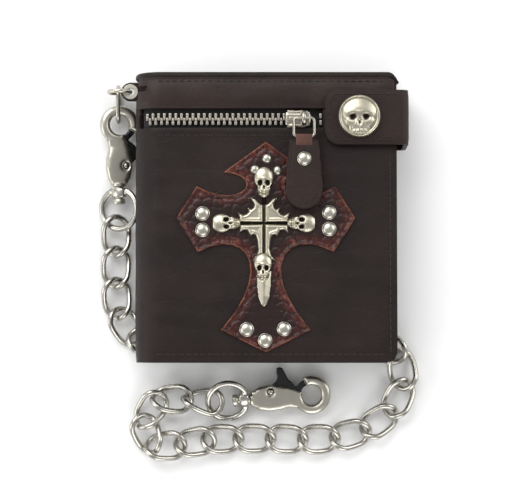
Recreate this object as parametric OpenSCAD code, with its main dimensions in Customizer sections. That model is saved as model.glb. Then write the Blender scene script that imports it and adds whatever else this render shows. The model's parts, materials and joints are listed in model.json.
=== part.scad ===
// Chain wallet: a snap-strap bifold wallet with a zip coin pocket, a cross badge,
// and a curb chain with a trigger clasp at each end. Millimetres, Z up.
// It lies face up on a flat surface with the chain passing under its lower part.

/* [Wallet] */
// Width of the closed wallet, spine to open edge
wallet_w = 110; // [106:1:114]
// Height of the wallet, top edge to bottom edge
wallet_h = 122; // [120:1:124]
// Thickness of the closed wallet
wallet_t = 22; // [21.6:0.1:23]
// Thickness of the outer leather
leather_t = 1.8; // [1.4:0.1:2]
// Corner radius of the covers
corner_r = 4; // [2:0.5:6]

/* [Zip] */
// Distance between neighbouring teeth of one row
tooth_pitch = 2.4; // [2:0.1:3]
// Height of the zip's centre line above the wallet's middle
zip_y = 41; // [40.5:0.1:41.5]
// Length of the row of teeth
zip_len = 60; // [48:2.4:62.4]

/* [Snap and rivets] */
// Diameter of the snap's cap
cap_d = 18; // [16:0.5:20]
// Diameter of a rivet's head
rivet_d = 6; // [5:0.1:6.4]

/* [Chain] */
// Wire diameter of a link
wire_d = 2.4; // [2:0.1:2.5]
// Angle that each half of a link is twisted through
link_twist = 42; // [40:0.5:44]

/* [Clasps] */
// Diameter of the round opening in a clasp's hook
eye_bore_d = 8.6; // [8:0.1:9]
// Thickness of a clasp's body
clasp_t = 5; // [4:0.1:5.2]

/* [Hidden] */
$fn = 48;

leather = "#3a2c28";
lining = "#2a2220";
croc = "#5e2a22";
tape_black = "#171515";
nickel = "#b9b4a8";
pewter = "#a39c8e";

// Where the wallet's middle stands, so that the whole object is centred on the origin
home = [2.6, 20.2];

// ---- Chain: one twisted oval link, and how the links follow each other ----
link_l = 16.8;                      // centreline length of a link
link_w = 10.8;                      // centreline width of a link
link_reach = 6.9;                   // from a link's middle to where it meets the next one
link_rings = 26;                    // wire sections round one link
link_sides = 8;
bow_r = link_w / 2;
bow_x = link_l / 2 - bow_r;
side_l = 2 * bow_x;
bow_l = PI * bow_r;
loop_l = 2 * (side_l + bow_l);

// Flat oval centreline at distance s round it, then twisted about its long axis
function oval(s) =
    s < bow_l / 2 ? [bow_x + bow_r * cos(deg(s)), bow_r * sin(deg(s))]
    : s < bow_l / 2 + side_l ? [bow_x - (s - bow_l / 2), bow_r]
    : s < 1.5 * bow_l + side_l ?
        [-bow_x + bow_r * cos(deg(s - side_l)), bow_r * sin(deg(s - side_l))]
    : s < 1.5 * bow_l + 2 * side_l ? [-bow_x + (s - 1.5 * bow_l - side_l), -bow_r]
    : [bow_x + bow_r * cos(deg(s - 2 * side_l)), bow_r * sin(deg(s - 2 * side_l))];
function deg(s) = s / bow_r * 180 / PI;
function twisted(p) =
    let (a = link_twist * p.x / (link_l / 2))
    [p.x, p.y * cos(a), p.y * sin(a)];
function loop_point(k) = twisted(oval(loop_l * ((k % link_rings) + 0.5) / link_rings));
loop_points = [for (k = [0:link_rings - 1]) loop_point(k)];
// Half the height that a link takes up when it is rolled by an angle
function half_height(roll) =
    max([for (p = loop_points) p.y * sin(roll) + p.z * cos(roll)]) + wire_d / 2 + 0.05;
chain_t = 2 * half_height(0);

// One row for each link, from the wallet's clasp to the free clasp:
// heading, roll about its own length, and how much closer than taut it lies
links = [
    [-90, 0, 0.2], [-91, 0, 0.2], [-86, 0, 0.2], [-58, 0, 0.4], [-8, 0, 0.6],
    [4, 0, 0.4], [4, 0, 0.4], [2, 0, 0.4], [0, 0, 0.4], [0, 0, 0.4],
    [0, 0, 0.4], [0, 0, 0.4], [-35, 0, 0.4], [-80, 0, 0.6], [-115, 0, 0.5],
    [-145, 0, 0.2], [-165, 0, 0], [-178, 0, 0], [-182, 0, 0], [-180, 0, 0],
    [-178, 0, 0], [-170, 10, 1], [-175, 15, 0.5], [-250, -10, 1],
    [-305, -15, 1], [-360, -20, 1], [-367, -40, 0.3]];
first_link = [-64, -6.7];
function heading(i) = [cos(links[i][0]), sin(links[i][0])];
// Distance from the previous link's middle to the next one's, along both headings
function link_middle(i) =
    i == 0 ? first_link
    : link_middle(i - 1) + (link_reach - links[i][2]) * (heading(i - 1) + heading(i));

// ---- Wallet layers, heights above the back's underside ----
half_w = wallet_w / 2;
half_h = wallet_h / 2;
spine_r = wallet_t / 2;
spine_x = -half_w + spine_r;        // where the covers turn into the spine
front_z = wallet_t - leather_t;     // underside of the front cover
band_t = 1;
band_y = zip_y + 4.5;               // lower edge of the top band
window_y = [zip_y - 3.7, band_y];
window_x = [-half_w + 3, 24];
lining_z = spine_r + 0.3;
bag_z = lining_z + 1.3;
bag_t = front_z - bag_z - 0.9;
bag_wall = 0.7;
tape_z = front_z - 0.7;
// The wallet leans on the chain that passes under it
lean_y = -45;
lean = atan((chain_t + 0.35) / (half_h - lean_y));

module at_home() translate([home.x, home.y, 0]) children();
module wallet_lay()
    at_home() translate([0, half_h, 0]) rotate([-lean, 0, 0]) translate([0, -half_h, 0])
        children();

// ---- Shapes used more than once ----
// Flat panel with rounded corners at its right side only
module panel(x0, x1, y0, y1, r, t)
    linear_extrude(t) union() {
        translate([x0, y0]) square([x1 - x0 - r, y1 - y0]);
        translate([x0, y0 + r]) square([x1 - x0, y1 - y0 - 2 * r]);
        for (y = [y0 + r, y1 - r]) translate([x1 - r, y]) circle(r);
    }
module ring(d, wire) rotate_extrude() translate([(d - wire) / 2, 0]) circle(d = wire, $fn = 24);
// Flat-bottomed dome
module dome(d, h) {
    r = (d * d / 4 + h * h) / (2 * h);
    intersection() {
        translate([0, 0, h - r]) sphere(r);
        cylinder(h = h, d = d);
    }
}
// Oval wire loop, straight sides joined by half rings, lying in XY
module wire_loop(length, width, wire) {
    r = (width - wire) / 2;
    straight = length - width;
    for (side = [0, 1]) rotate(180 * side) translate([straight / 2, 0, 0])
        rotate(-90) rotate_extrude(angle = 180) translate([r, 0]) circle(d = wire, $fn = 24);
    for (y = [-r, r]) translate([-straight / 2, y, 0]) rotate([0, 90, 0])
        cylinder(h = straight, d = wire, $fn = 24);
}
// A cover in one piece with its quarter of the spine: an outline in XZ, drawn along Y
function fold_arc(r, up) = [for (k = [0:16]) let (a = 90 * k / 16)
    [spine_x - r * cos(a), spine_r + (up ? 1 : -1) * (0.05 + (r - 0.05) * sin(a))]];
function reversed(points) = [for (k = [len(points) - 1:-1:0]) points[k]];
module cover(up) intersection() {
    translate([0, half_h, 0]) rotate([90, 0, 0]) linear_extrude(wallet_h)
        polygon(concat(fold_arc(spine_r, up),
            [[half_w, up ? wallet_t : 0], [half_w, up ? front_z : leather_t]],
            reversed(fold_arc(spine_r - leather_t, up))));
    translate([0, 0, -1]) panel(-half_w - 1, half_w, -half_h, half_h, corner_r, wallet_t + 2);
}

// ---- Back half ----
strap_y = [30, 53];
strap_wall_x = half_w + 3.2;
strap_z = wallet_t + band_t + 0.3;
tab_y = 54;
tab_z = [spine_r - 1.8, spine_r - 0.2];
eyelet_x = -57.5;

module back_cover() color(leather) wallet_lay() {
    difference() {
        cover(false);
        translate([-half_w - 1, tab_y - 4.2, tab_z[0] - 0.7]) cube([4, 8.4, 2.8]);
    }
    // Root of the snap strap, which turns up round the open edge
    translate([half_w - 6, strap_y[0], 0])
        cube([strap_wall_x + leather_t - half_w + 6, strap_y[1] - strap_y[0], leather_t]);
    translate([strap_wall_x, strap_y[0], 0])
        cube([leather_t, strap_y[1] - strap_y[0], strap_z - 0.1]);
}

pocket_steps = 4;
module card_pockets() color(lining) wallet_lay()
    for (i = [0:pocket_steps - 1])
        translate([0, 0, leather_t + 0.05 + 1.3 * i])
            panel(spine_x + 2, half_w - 2, -half_h + 2, half_h - 6 - 12 * i, 3, 1);

module bill_divider() color(lining) wallet_lay()
    translate([0, 0, spine_r - 2.4])
        panel(spine_x + 2, half_w - 1.5, -half_h + 1.5, half_h - 2, 3, 1);

module chain_tab() color(leather) wallet_lay()
    translate([0, 0, tab_z[0]]) difference() {
        union() {
            translate([eyelet_x, tab_y - 4, 0]) cube([14, 8, tab_z[1] - tab_z[0]]);
            translate([eyelet_x, tab_y, 0]) cylinder(h = tab_z[1] - tab_z[0], r = 4);
        }
        translate([eyelet_x, tab_y, -1]) cylinder(h = 5, d = 4.4);
    }

module chain_eyelet() color(nickel) wallet_lay()
    translate([eyelet_x, tab_y, (tab_z[0] + tab_z[1]) / 2]) difference() {
        union() {
            cylinder(h = 1.5, d = 4.3, center = true);
            for (s = [-1, 1]) translate([0, 0, s * 1.1]) cylinder(h = 0.5, d = 6.4, center = true);
        }
        cylinder(h = 5, d = 3.2, center = true);
    }

// ---- Front half ----
module front_cover() color(leather) wallet_lay() difference() {
    cover(true);
    translate([window_x[0], window_y[0], front_z - 1])
        cube([window_x[1] - window_x[0], window_y[1] - window_y[0], leather_t + 2]);
    // Slot that clears the wallet ring as the cover opens
    translate([-half_w - 1, tab_y - 4.5, spine_r - 1]) cube([9.5, 9, 10.5]);
}

module top_band() color(leather) wallet_lay()
    translate([0, 0, wallet_t])
        panel(spine_x, half_w - 0.5, band_y, half_h - 0.3, 3, band_t);

module front_lining() color(lining) wallet_lay()
    translate([0, 0, lining_z]) panel(spine_x + 1, half_w - 1, -half_h + 1, half_h - 1, 3, 1);

bag_x = [spine_x + 3, half_w - 10];
bag_y = [-half_h + 22, band_y - 1];
module coin_bag() color(tape_black) wallet_lay()
    translate([bag_x[0], bag_y[0], bag_z]) difference() {
        cube([bag_x[1] - bag_x[0], bag_y[1] - bag_y[0], bag_t]);
        translate([bag_wall, bag_wall, bag_wall])
            cube([bag_x[1] - bag_x[0] - 2 * bag_wall,
                  bag_y[1] - bag_y[0] - 2 * bag_wall, bag_t - 2 * bag_wall]);
        translate([bag_wall, bag_y[1] - bag_y[0] - 7.2, bag_wall])
            cube([bag_x[1] - bag_x[0] - 2 * bag_wall, 6.5, bag_t]);
    }

// ---- Zip ----
zip_x = window_x[0] + 4;
zip_end = zip_x + zip_len;
teeth_z = tape_z + 0.65;
teeth_h = 1.6;
module zip_tape() color(tape_black) wallet_lay()
    for (s = [-1, 1])
        translate([spine_x, zip_y + (s > 0 ? 0.3 : -5.3), tape_z])
            cube([window_x[1] + 2 - spine_x, 5, 0.6]);

// One row of teeth: each has a root over its tape and a head past the centre line
module teeth_row(side)
    for (x = [zip_x + (side > 0 ? 0 : tooth_pitch / 2) : tooth_pitch : zip_end])
        translate([x, zip_y, teeth_z]) {
            translate([0, side > 0 ? -0.5 : -2.5, 0]) cube([tooth_pitch / 2 - 0.1, 3, teeth_h]);
        }
// Clamped metal stop at each end of a row
module stop_pair(side)
    for (x = [zip_x - 2, window_x[1] - 1.4])
        translate([x, zip_y + (side > 0 ? 0.4 : -2.4), teeth_z]) cube([1.2, 2, teeth_h]);
module zip_teeth_upper() color(nickel) wallet_lay() {
    teeth_row(1);
    stop_pair(1);
}
module zip_teeth_lower() color(nickel) wallet_lay() {
    teeth_row(-1);
    stop_pair(-1);
}

slider_x = zip_end - 4;
slider_l = 11;
slider_w = 7.6;
slider_z = wallet_t + 0.25;
slider_top = slider_z + 1.4;
crown_x = slider_x + 8;
bar_lift = 3.3;                     // the pull ring's top bar above the slider plate
crown_h = bar_lift + 1.8;
module zip_slider() color(nickel) wallet_lay() {
    translate([slider_x, zip_y, slider_z]) linear_extrude(1.4)
        polygon([[0, -3], [0, 3], [7, slider_w / 2], [slider_l, 2.6],
                 [slider_l, -2.6], [7, -slider_w / 2]]);
    // Side flanges run down beside the teeth
    for (s = [-1, 1]) translate([slider_x + 1, zip_y + s * 3.2 - 0.35, teeth_z + 0.1])
        cube([6, 0.7, slider_z - teeth_z]);
    // Crown that holds the pull ring
    difference() {
        translate([crown_x - 1, zip_y - 3, slider_top - 0.2]) cube([2, 6, crown_h + 0.2]);
        translate([crown_x - 2, zip_y - 2, slider_top]) cube([4, 4, crown_h - 0.9]);
    }
}

// ---- Pull ring and leather tab ----
pull_wire = 1.2;
pull_z = slider_top + bar_lift;         // height of the pull ring's top bar in the crown
pull_l = 8;                         // the ring's top bar to its bottom bar
pull_w = 8.6;
pull_bend = 1.6;
bar_y = zip_y - pull_l;
neck_w = 5;
tab_w = [12.4, 15.6];
tab_top = bar_y - 1.3;
tab_l = 29;
tab_t = 1.9;

// Rounded rectangle of wire in XY: its top bar runs through the origin
module pull_loop() {
    r = pull_bend;
    x = pull_w / 2;
    for (c = [[x - r, -r, 0], [-x + r, -r, 90], [-x + r, r - pull_l, 180], [x - r, r - pull_l, 270]])
        translate([c[0], c[1], 0]) rotate(c[2]) rotate_extrude(angle = 90)
            translate([r, 0]) circle(d = pull_wire, $fn = 24);
    for (y = [0, -pull_l]) translate([-x + r, y, 0]) rotate([0, 90, 0])
        cylinder(h = 2 * (x - r), d = pull_wire, $fn = 24);
    for (side = [-x, x]) translate([side, r - pull_l, 0]) rotate([-90, 0, 0])
        cylinder(h = pull_l - 2 * r, d = pull_wire, $fn = 24);
}
module zip_pull_ring() color(nickel) wallet_lay()
    translate([crown_x, zip_y, pull_z]) pull_loop();

module pull_tab() color(leather) wallet_lay() translate([crown_x, 0, pull_z]) {
    translate([0, tab_top, -tab_t / 2]) linear_extrude(tab_t) union() {
        polygon([[-tab_w[0] / 2, 0], [tab_w[0] / 2, 0],
                 [tab_w[1] / 2, -tab_l + tab_w[1] / 2], [-tab_w[1] / 2, -tab_l + tab_w[1] / 2]]);
        translate([0, -tab_l + tab_w[1] / 2]) circle(tab_w[1] / 2);
    }
    // Fold of the leather round the ring's bottom bar
    difference() {
        union() {
            translate([-neck_w / 2, bar_y, 0]) rotate([0, 90, 0]) cylinder(h = neck_w, r = 1.3);
            translate([-neck_w / 2, tab_top - 1, -tab_t / 2]) cube([neck_w, 2.3, tab_t]);
        }
        translate([-neck_w, bar_y, 0]) rotate([0, 90, 0])
            cylinder(h = 2 * neck_w, d = pull_wire + 0.15, $fn = 24);
    }
}
module pull_tab_rivet() color(nickel) wallet_lay()
    translate([crown_x, tab_top - 8, pull_z + tab_t / 2 + 0.02]) dome(rivet_d - 0.2, 1.5);

// ---- Cross badge ----
// Point at t on a curve that leaves a towards b and reaches d from c
function curve(a, b, c, d, t) =
    pow(1 - t, 3) * a + 3 * t * pow(1 - t, 2) * b + 3 * t * t * (1 - t) * c + pow(t, 3) * d;
function arc_points(a, b, c, d) = [for (k = [0:10]) curve(a, b, c, d, k / 10)];
function mirrored(points) = [for (k = [len(points) - 1:-1:0]) [-points[k].x, points[k].y]];
badge_x = 0;
badge_t = 1.2;
badge_left = concat(
    [[0, 31.3]],
    arc_points([-17.7, 18.5], [1, 17], [-10, 2], [-29, 12.6]),
    [[-37.5, -0.8]],
    arc_points([-28.4, -15], [-8, -4], [4, -22], [-18.8, -47.6]),
    [[0, -57]]);
module cross_applique() color(croc) wallet_lay()
    translate([badge_x, 0, wallet_t + 0.02]) linear_extrude(badge_t)
        polygon(concat(badge_left, mirrored(badge_left)));

badge_top = wallet_t + 0.02 + badge_t;
rivet_spots = [
    [-26.5, 1.1], [-26.5, -5.8], [26.5, 1.5], [26.5, -5.4], [-8, -47.4], [7.6, -47.2],
    [-0.3, -52], [0.5, 24.2], [-4.6, 19.6], [5, 19.2]];
module cross_rivets() color(nickel) wallet_lay()
    for (p = rivet_spots) translate([p.x, p.y, badge_top + 0.02])
        dome(p.y > 15 ? rivet_d - 2 : rivet_d, 1.6);

// Outline of a quarter of the metal cross's flared middle plate
metal_mid = [-0.8, -3];
metal_plate = [[0.7, 11.6], [3.2, 10.4], [7.2, 13.6], [5.2, 7.4], [10.4, 8.6], [8.2, 5.2],
               [12.6, 5.6], [9.4, 2.6], [12.6, 0.7], [0.7, 0.7]];
skull_h = 2.5;
module skull(w, l) {
    dome(w, skull_h);
    translate([0, -l * 0.34, 0]) dome(w * 0.66, skull_h * 0.8);
}
module metal_cross() color(pewter) wallet_lay()
    translate([metal_mid.x, metal_mid.y, badge_top + 0.02]) {
        for (mx = [0, 1], my = [0, 1]) mirror([mx, 0, 0]) mirror([0, my, 0])
            linear_extrude(2.2) polygon(metal_plate);
        // Ridge bars that the four quarters stand on
        translate([-11, -2, 0]) cube([22, 4, 1.3]);
        translate([-2, -14, 0]) cube([4, 26, 1.3]);
        translate([0, 17.4, 0]) skull(8.4, 13);
        translate([-15.5, 0, 0]) rotate(90) skull(8, 12);
        translate([15.5, 0, 0]) rotate(-90) skull(8, 12);
        translate([-0.4, -17.5, 0]) skull(7.8, 11);
        translate([-0.4, -22, 0]) linear_extrude(1.8)
            polygon([[-3, 0], [3, 0], [2.4, -8], [0, -13], [-2.4, -8]]);
    }

// ---- Snap ----
snap_x = 39.2;
snap_y = 41.8;
strap_t = 2;
strap_left = 24.8;
strap_r = 6;
module snap_strap() color(leather) wallet_lay()
    translate([0, 0, strap_z]) difference() {
        linear_extrude(strap_t) union() {
            translate([strap_left + strap_r, strap_y[0]])
                square([strap_wall_x + leather_t - strap_left - strap_r, strap_y[1] - strap_y[0]]);
            translate([strap_left, strap_y[0] + strap_r])
                square([strap_r + 1, strap_y[1] - strap_y[0] - 2 * strap_r]);
            for (y = [strap_y[0] + strap_r, strap_y[1] - strap_r])
                translate([strap_left + strap_r, y]) circle(strap_r);
        }
        translate([snap_x, snap_y, -1]) cylinder(h = 5, d = 4.4);
    }
module snap_cap() color(nickel) wallet_lay()
    translate([snap_x, snap_y, strap_z + strap_t + 0.02]) {
        cylinder(h = 1, d = cap_d);
        translate([0, 0, 1]) dome(cap_d - 1.6, 1.9);
    }
module snap_socket() color(nickel) wallet_lay()
    translate([snap_x, snap_y, wallet_t + 0.3]) difference() {
        cylinder(h = strap_z - wallet_t - 0.32, d = 11);
        translate([0, 0, -1]) cylinder(h = 5, d = 4.4);
        // Room beside the socket for the top band's edge
        translate([-6, band_y - snap_y - 0.3, -1]) cube([12, 6, band_t + 1.1]);
    }
module snap_stud() color(nickel) wallet_lay()
    translate([snap_x, snap_y, wallet_t + 0.02]) {
        cylinder(h = 0.2, d = 6.6);
        cylinder(h = 2.6, d = 3.4);
        translate([0, 0, 1.9]) cylinder(h = 0.7, d = 3.8);
    }

// ---- Wallet ring and connecting link ----
ring_wire = 1.8;
ring_d = 11;
ring_z = (tab_z[0] + tab_z[1]) / 2;
ring_x = eyelet_x - (ring_d - ring_wire) / 2;
module wallet_ring() color(nickel) wallet_lay()
    translate([ring_x, tab_y, ring_z]) rotate([90, 0, 0]) ring(ring_d, ring_wire);

joiner_x = -63;
joiner_wire = 1.8;
joiner_w = 9.8;
joiner_l = 16.8;
joiner_y = 49.7;
joiner_z = joiner_w / 2 + 0.1;
module ring_link() color(nickel) at_home()
    translate([joiner_x, joiner_y, joiner_z]) rotate([0, 90, 0]) rotate(90)
        wire_loop(joiner_l, joiner_w, joiner_wire);

// ---- Trigger clasps: ring end at the origin, hook eye along +X ----
eye_x = 36;
eye_d = 16.4;
swivel_d = 19.5;
swivel_wire = 2.5;
stub_d = 3.2;
pin_at = [18.5, 2.6];
pin_d = 2;
body_x = [10.2, 28];
slot_t = 2.4;
gate_angles = [112, 158];           // gap in the hook that the trigger closes
swivel_roll = 25;                   // how far each ring is turned from flat in its collar

module sector(r, a0, a1) polygon(concat([[0, 0]], [for (k = [0:8])
    let (a = a0 + (a1 - a0) * k / 8) [r * cos(a), r * sin(a)]]));

module clasp_frame() difference() {
    union() {
        translate([0, 0, -clasp_t / 2]) linear_extrude(clasp_t) difference() {
            union() {
                translate([eye_x, 0]) circle(d = eye_d);
                polygon([[body_x[0], -3.4], [body_x[0], 3.4], [13, 4.6], [22, 5.2], [28, 4.4],
                         [30, -2], [29, -5.2], [22, -5.2], [13, -4.6]]);
            }
            translate([eye_x, 0]) circle(d = eye_bore_d, $fn = 64);
            translate([eye_x, 0]) sector(eye_d, gate_angles[0], gate_angles[1]);
        }
        // Stub with a head, held in the swivel ring's collar
        translate([3, 0, 0]) rotate([0, 90, 0]) cylinder(h = 7.6, d = stub_d);
        translate([2, 0, 0]) rotate([0, 90, 0]) cylinder(h = 2.4, d = 5.4);
    }
    // Slot for the trigger
    translate([0, 0, -slot_t / 2]) linear_extrude(slot_t)
        polygon([[13.5, -0.6], [19, -0.9], [30.5, -5.2], [32.4, -3.2], [32.4, 8], [13.5, 8]]);
    translate([pin_at.x, pin_at.y, 0]) cylinder(h = 10, d = pin_d + 0.1, center = true);
}
module clasp_trigger() difference() {
    translate([0, 0, -1.05]) linear_extrude(2.1) difference() {
        union() {
            translate(pin_at) circle(d = 4.6);
            polygon([[17, 0.6], [29.6, 1.4], [29.6, 5.2], [24, 7.4], [17.6, 4.9]]);
            // Thumb horn
            polygon([[22.2, 6.2], [27.2, 6], [25, 9], [23.6, 12.8], [21.8, 12.8], [21.4, 9]]);
            translate([eye_x, 0]) intersection() {
                difference() {
                    circle(r = eye_d / 2 - 0.9);
                    circle(d = eye_bore_d + 0.5);
                }
                sector(eye_d, gate_angles[0] + 3, gate_angles[1] + 12);
            }
        }
        translate([eye_x, 0]) circle(d = eye_bore_d + 0.5);
    }
    translate([pin_at.x, pin_at.y, 0]) cylinder(h = 10, d = pin_d + 0.1, center = true);
}
module clasp_pin() translate([pin_at.x, pin_at.y, 0])
    cylinder(h = clasp_t + 0.6, d = pin_d, center = true);
module clasp_swivel() difference() {
    union() {
        intersection() {
            ring(swivel_d, swivel_wire);
            translate([-20, -20, -5]) cube([28.7, 40, 10]);
        }
        translate([5.2, -3.4, -2.3]) cube([3.5, 6.8, 4.6]);
    }
    rotate([0, 90, 0]) cylinder(h = 12, d = stub_d + 0.1);
    translate([1.5, 0, 0]) rotate([0, 90, 0]) cylinder(h = 3.6, d = 6);
}

// Clasp A hangs from the wallet's connecting link, clasp B is free
a_ring = [-62.6, 5];
a_z = 5;
a_roll = -15;                       // its thumb lever dips under the wallet's spine
b_ring = [-16.2, -77.1];
b_z = 5;
b_heading = 4;
b_pitch = 3.1;                      // its hook end dips to the surface it lies on
module lay_a() at_home() translate([a_ring.x, a_ring.y, a_z]) rotate(90) mirror([0, 1, 0])
    children();
module lay_b() at_home() translate([b_ring.x, b_ring.y, b_z]) rotate([0, b_pitch, b_heading])
    children();
module rolled_swivel() rotate([swivel_roll, 0, 0]) clasp_swivel();
module clasp_a_frame() color(nickel) lay_a() rotate([a_roll, 0, 0]) clasp_frame();
module clasp_a_trigger() color(nickel) lay_a() rotate([a_roll, 0, 0]) clasp_trigger();
module clasp_a_pin() color(nickel) lay_a() rotate([a_roll, 0, 0]) clasp_pin();
module clasp_a_swivel() color(nickel) lay_a() rolled_swivel();
module clasp_b_frame() color(nickel) lay_b() clasp_frame();
module clasp_b_trigger() color(nickel) lay_b() clasp_trigger();
module clasp_b_pin() color(nickel) lay_b() clasp_pin();
module clasp_b_swivel() color(nickel) lay_b() rolled_swivel();

// ---- Chain links: a round wire swept round the twisted oval ----
function unit(v) = v / norm(v);
function section(k) =
    let (t = unit(loop_point(k + 1) - loop_point(k + link_rings - 1)),
         side = unit(cross(t, unit([loop_point(k).x / 9, loop_point(k).y, loop_point(k).z]))),
         out = cross(side, t))
    [for (j = [0:link_sides - 1]) let (a = 360 * (j + 0.5) / link_sides)
        loop_point(k) + wire_d / 2 * (cos(a) * out + sin(a) * side)];
link_skin = [for (k = [0:link_rings - 1]) each section(k)];
link_faces = [for (k = [0:link_rings - 1], j = [0:link_sides - 1])
    let (n = (k + 1) % link_rings, m = (j + 1) % link_sides)
    each [[k * link_sides + j, k * link_sides + m, n * link_sides + j],
          [k * link_sides + m, n * link_sides + m, n * link_sides + j]]];
module link(i) color(nickel) at_home()
    translate(concat(link_middle(i), half_height(links[i][1])))
        rotate(links[i][0]) rotate([links[i][1], 0, 0])
            polyhedron(link_skin, link_faces, convexity = 6);

back_cover();
card_pockets();
bill_divider();
chain_tab();
chain_eyelet();
front_cover();
top_band();
front_lining();
coin_bag();
zip_tape();
zip_teeth_upper();
zip_teeth_lower();
zip_slider();
zip_pull_ring();
pull_tab();
pull_tab_rivet();
cross_applique();
cross_rivets();
metal_cross();
snap_stud();
snap_strap();
snap_cap();
snap_socket();
wallet_ring();
ring_link();
clasp_a_frame();
clasp_a_trigger();
clasp_a_pin();
clasp_a_swivel();
clasp_b_frame();
clasp_b_trigger();
clasp_b_pin();
clasp_b_swivel();
for (i = [0:len(links) - 1])
    link(i);
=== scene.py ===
"""Chain wallet: builds the visible leather, zip, badge, snap, clasps and chain
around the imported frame, with one operator for each piece or group of like pieces."""

import json
import math

import bmesh
import bpy
import numpy as np
from bpy.props import FloatProperty, FloatVectorProperty, PointerProperty
from mathutils import Matrix, Vector


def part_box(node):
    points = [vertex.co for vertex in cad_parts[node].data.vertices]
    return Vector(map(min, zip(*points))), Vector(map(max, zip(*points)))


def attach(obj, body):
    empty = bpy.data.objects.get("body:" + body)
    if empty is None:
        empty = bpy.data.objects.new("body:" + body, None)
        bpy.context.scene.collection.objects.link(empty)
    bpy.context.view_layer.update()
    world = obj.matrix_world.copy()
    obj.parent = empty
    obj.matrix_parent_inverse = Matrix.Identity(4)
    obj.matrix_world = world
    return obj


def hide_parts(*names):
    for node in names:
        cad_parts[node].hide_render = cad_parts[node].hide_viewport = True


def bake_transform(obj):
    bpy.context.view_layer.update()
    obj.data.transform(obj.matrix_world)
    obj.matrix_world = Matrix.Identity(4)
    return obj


bl_info = {
    "name": "Chain wallet",
    "version": (1, 0, 0),
    "blender": (4, 0, 0),
    "location": "View3D > Sidebar > Chain wallet",
    "description": "Leather wallet with a zip, a cross badge and a curb chain",
    "category": "Object",
}

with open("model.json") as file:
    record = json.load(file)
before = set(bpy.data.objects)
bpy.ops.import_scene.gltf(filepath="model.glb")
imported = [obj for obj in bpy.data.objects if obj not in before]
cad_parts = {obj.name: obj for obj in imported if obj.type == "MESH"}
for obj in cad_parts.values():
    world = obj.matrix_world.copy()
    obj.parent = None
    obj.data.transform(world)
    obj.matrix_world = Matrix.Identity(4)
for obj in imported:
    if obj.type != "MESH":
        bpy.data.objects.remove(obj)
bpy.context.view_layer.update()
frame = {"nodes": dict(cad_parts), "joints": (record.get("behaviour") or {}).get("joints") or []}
JOINTS = {j["name"]: j for j in frame["joints"]}
MM = 0.001


def joint(name):
    """Place and direction of a joint in the row frame."""
    return Vector(JOINTS[name]["pos_m"]), Vector(JOINTS[name]["axis"]).normalized()


# ---- Frames that pieces are drawn in, all in millimetres ----
HALF_W, HALF_H, WALLET_T, LEATHER_T = 55.0, 61.0, 22.0, 1.8
SPINE_R = WALLET_T / 2
SPINE_X = SPINE_R - HALF_W
EDGE = 0.45
COVER_CORNER, STRAP_CORNER = 4.0, 6.0
hinge_at, hinge_axis = joint("cover_open")
LEAN = math.atan2(hinge_axis.z, -hinge_axis.y)
WALLET = (
    Matrix.Translation(hinge_at)
    @ Matrix.Rotation(-LEAN, 4, "X")
    @ Matrix.Scale(MM, 4)
    @ Matrix.Translation((HALF_W, 0, -SPINE_R))
)


def clasp_frame(swivel, trigger, mirrored):
    """A clasp's own frame: ring at the origin, hook along X, lever towards +Y."""
    at, x = joint(swivel)
    z = joint(trigger)[1] * (1 if mirrored else -1)
    y = x.cross(z) if mirrored else z.cross(x)
    turn = Matrix((x, y, z)).transposed().to_4x4()
    return Matrix.Translation(at) @ turn @ Matrix.Scale(MM, 4)


def link_frame(node):
    """A link's own frame, from how its solid's corners are spread."""
    co = np.array([v.co for v in frame["nodes"][node].data.vertices], float)
    co = np.unique(np.round(co, 7), axis=0)
    middle = co.mean(0)
    spread, axes = np.linalg.eigh(np.cov((co - middle).T))
    axes = axes[:, np.argsort(spread)[::-1]]
    if np.linalg.det(axes) < 0:
        axes[:, 2] *= -1
    turn = Matrix([list(row) for row in axes]).to_4x4()
    return Matrix.Translation(middle) @ turn @ Matrix.Scale(MM, 4)


# ---- Numbers that several pieces share ----
ZIP_Y = 41.0
BAND_Y = 45.5
TAB_Y, TAB_R = 54.0, 4.0
EYELET_X = -57.5
WINDOW_Y = (37.3, BAND_Y)
WINDOW_END = 24.0
TOOTH_PITCH = 2.4
SLIDER_X = 8.0
CROWN_X = 16.0
PULL_Z = 26.95
BAR_Y = 33.0
BADGE_BASE = WALLET_T + 0.02
BADGE_TOP = BADGE_BASE + 1.2
METAL_MID = (-0.8, -3.0)
SNAP = (39.2, 41.8)
STRAP_Y = (30.0, 53.0)
STRAP_TOP = 25.3
STRAP_T = 1.9
STRAP_BEND = 30.8
RIVETS = [
    (-26.5, 1.1, 6), (-26.5, -5.8, 6), (26.5, 1.5, 6), (26.5, -5.4, 6),
    (-8, -47.4, 6), (7.6, -47.2, 6), (-0.3, -52, 6),
    (0.5, 24.2, 4.2), (-4.6, 19.6, 4), (5, 19.2, 4),
]
EYE_X, EYE_R, BORE_R = 36.0, 8.2, 4.3
PIN = (18.5, 2.6)
SWIVEL_R, SWIVEL_WIRE = 8.5, 1.25
LINKS = 27


def srgb(r, g, b):
    """Linear colour from the 0 to 255 values of a colour chart."""
    def one(c):
        c /= 255
        return c / 12.92 if c <= 0.04045 else ((c + 0.055) / 1.055) ** 2.4
    return (one(r), one(g), one(b))


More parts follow.
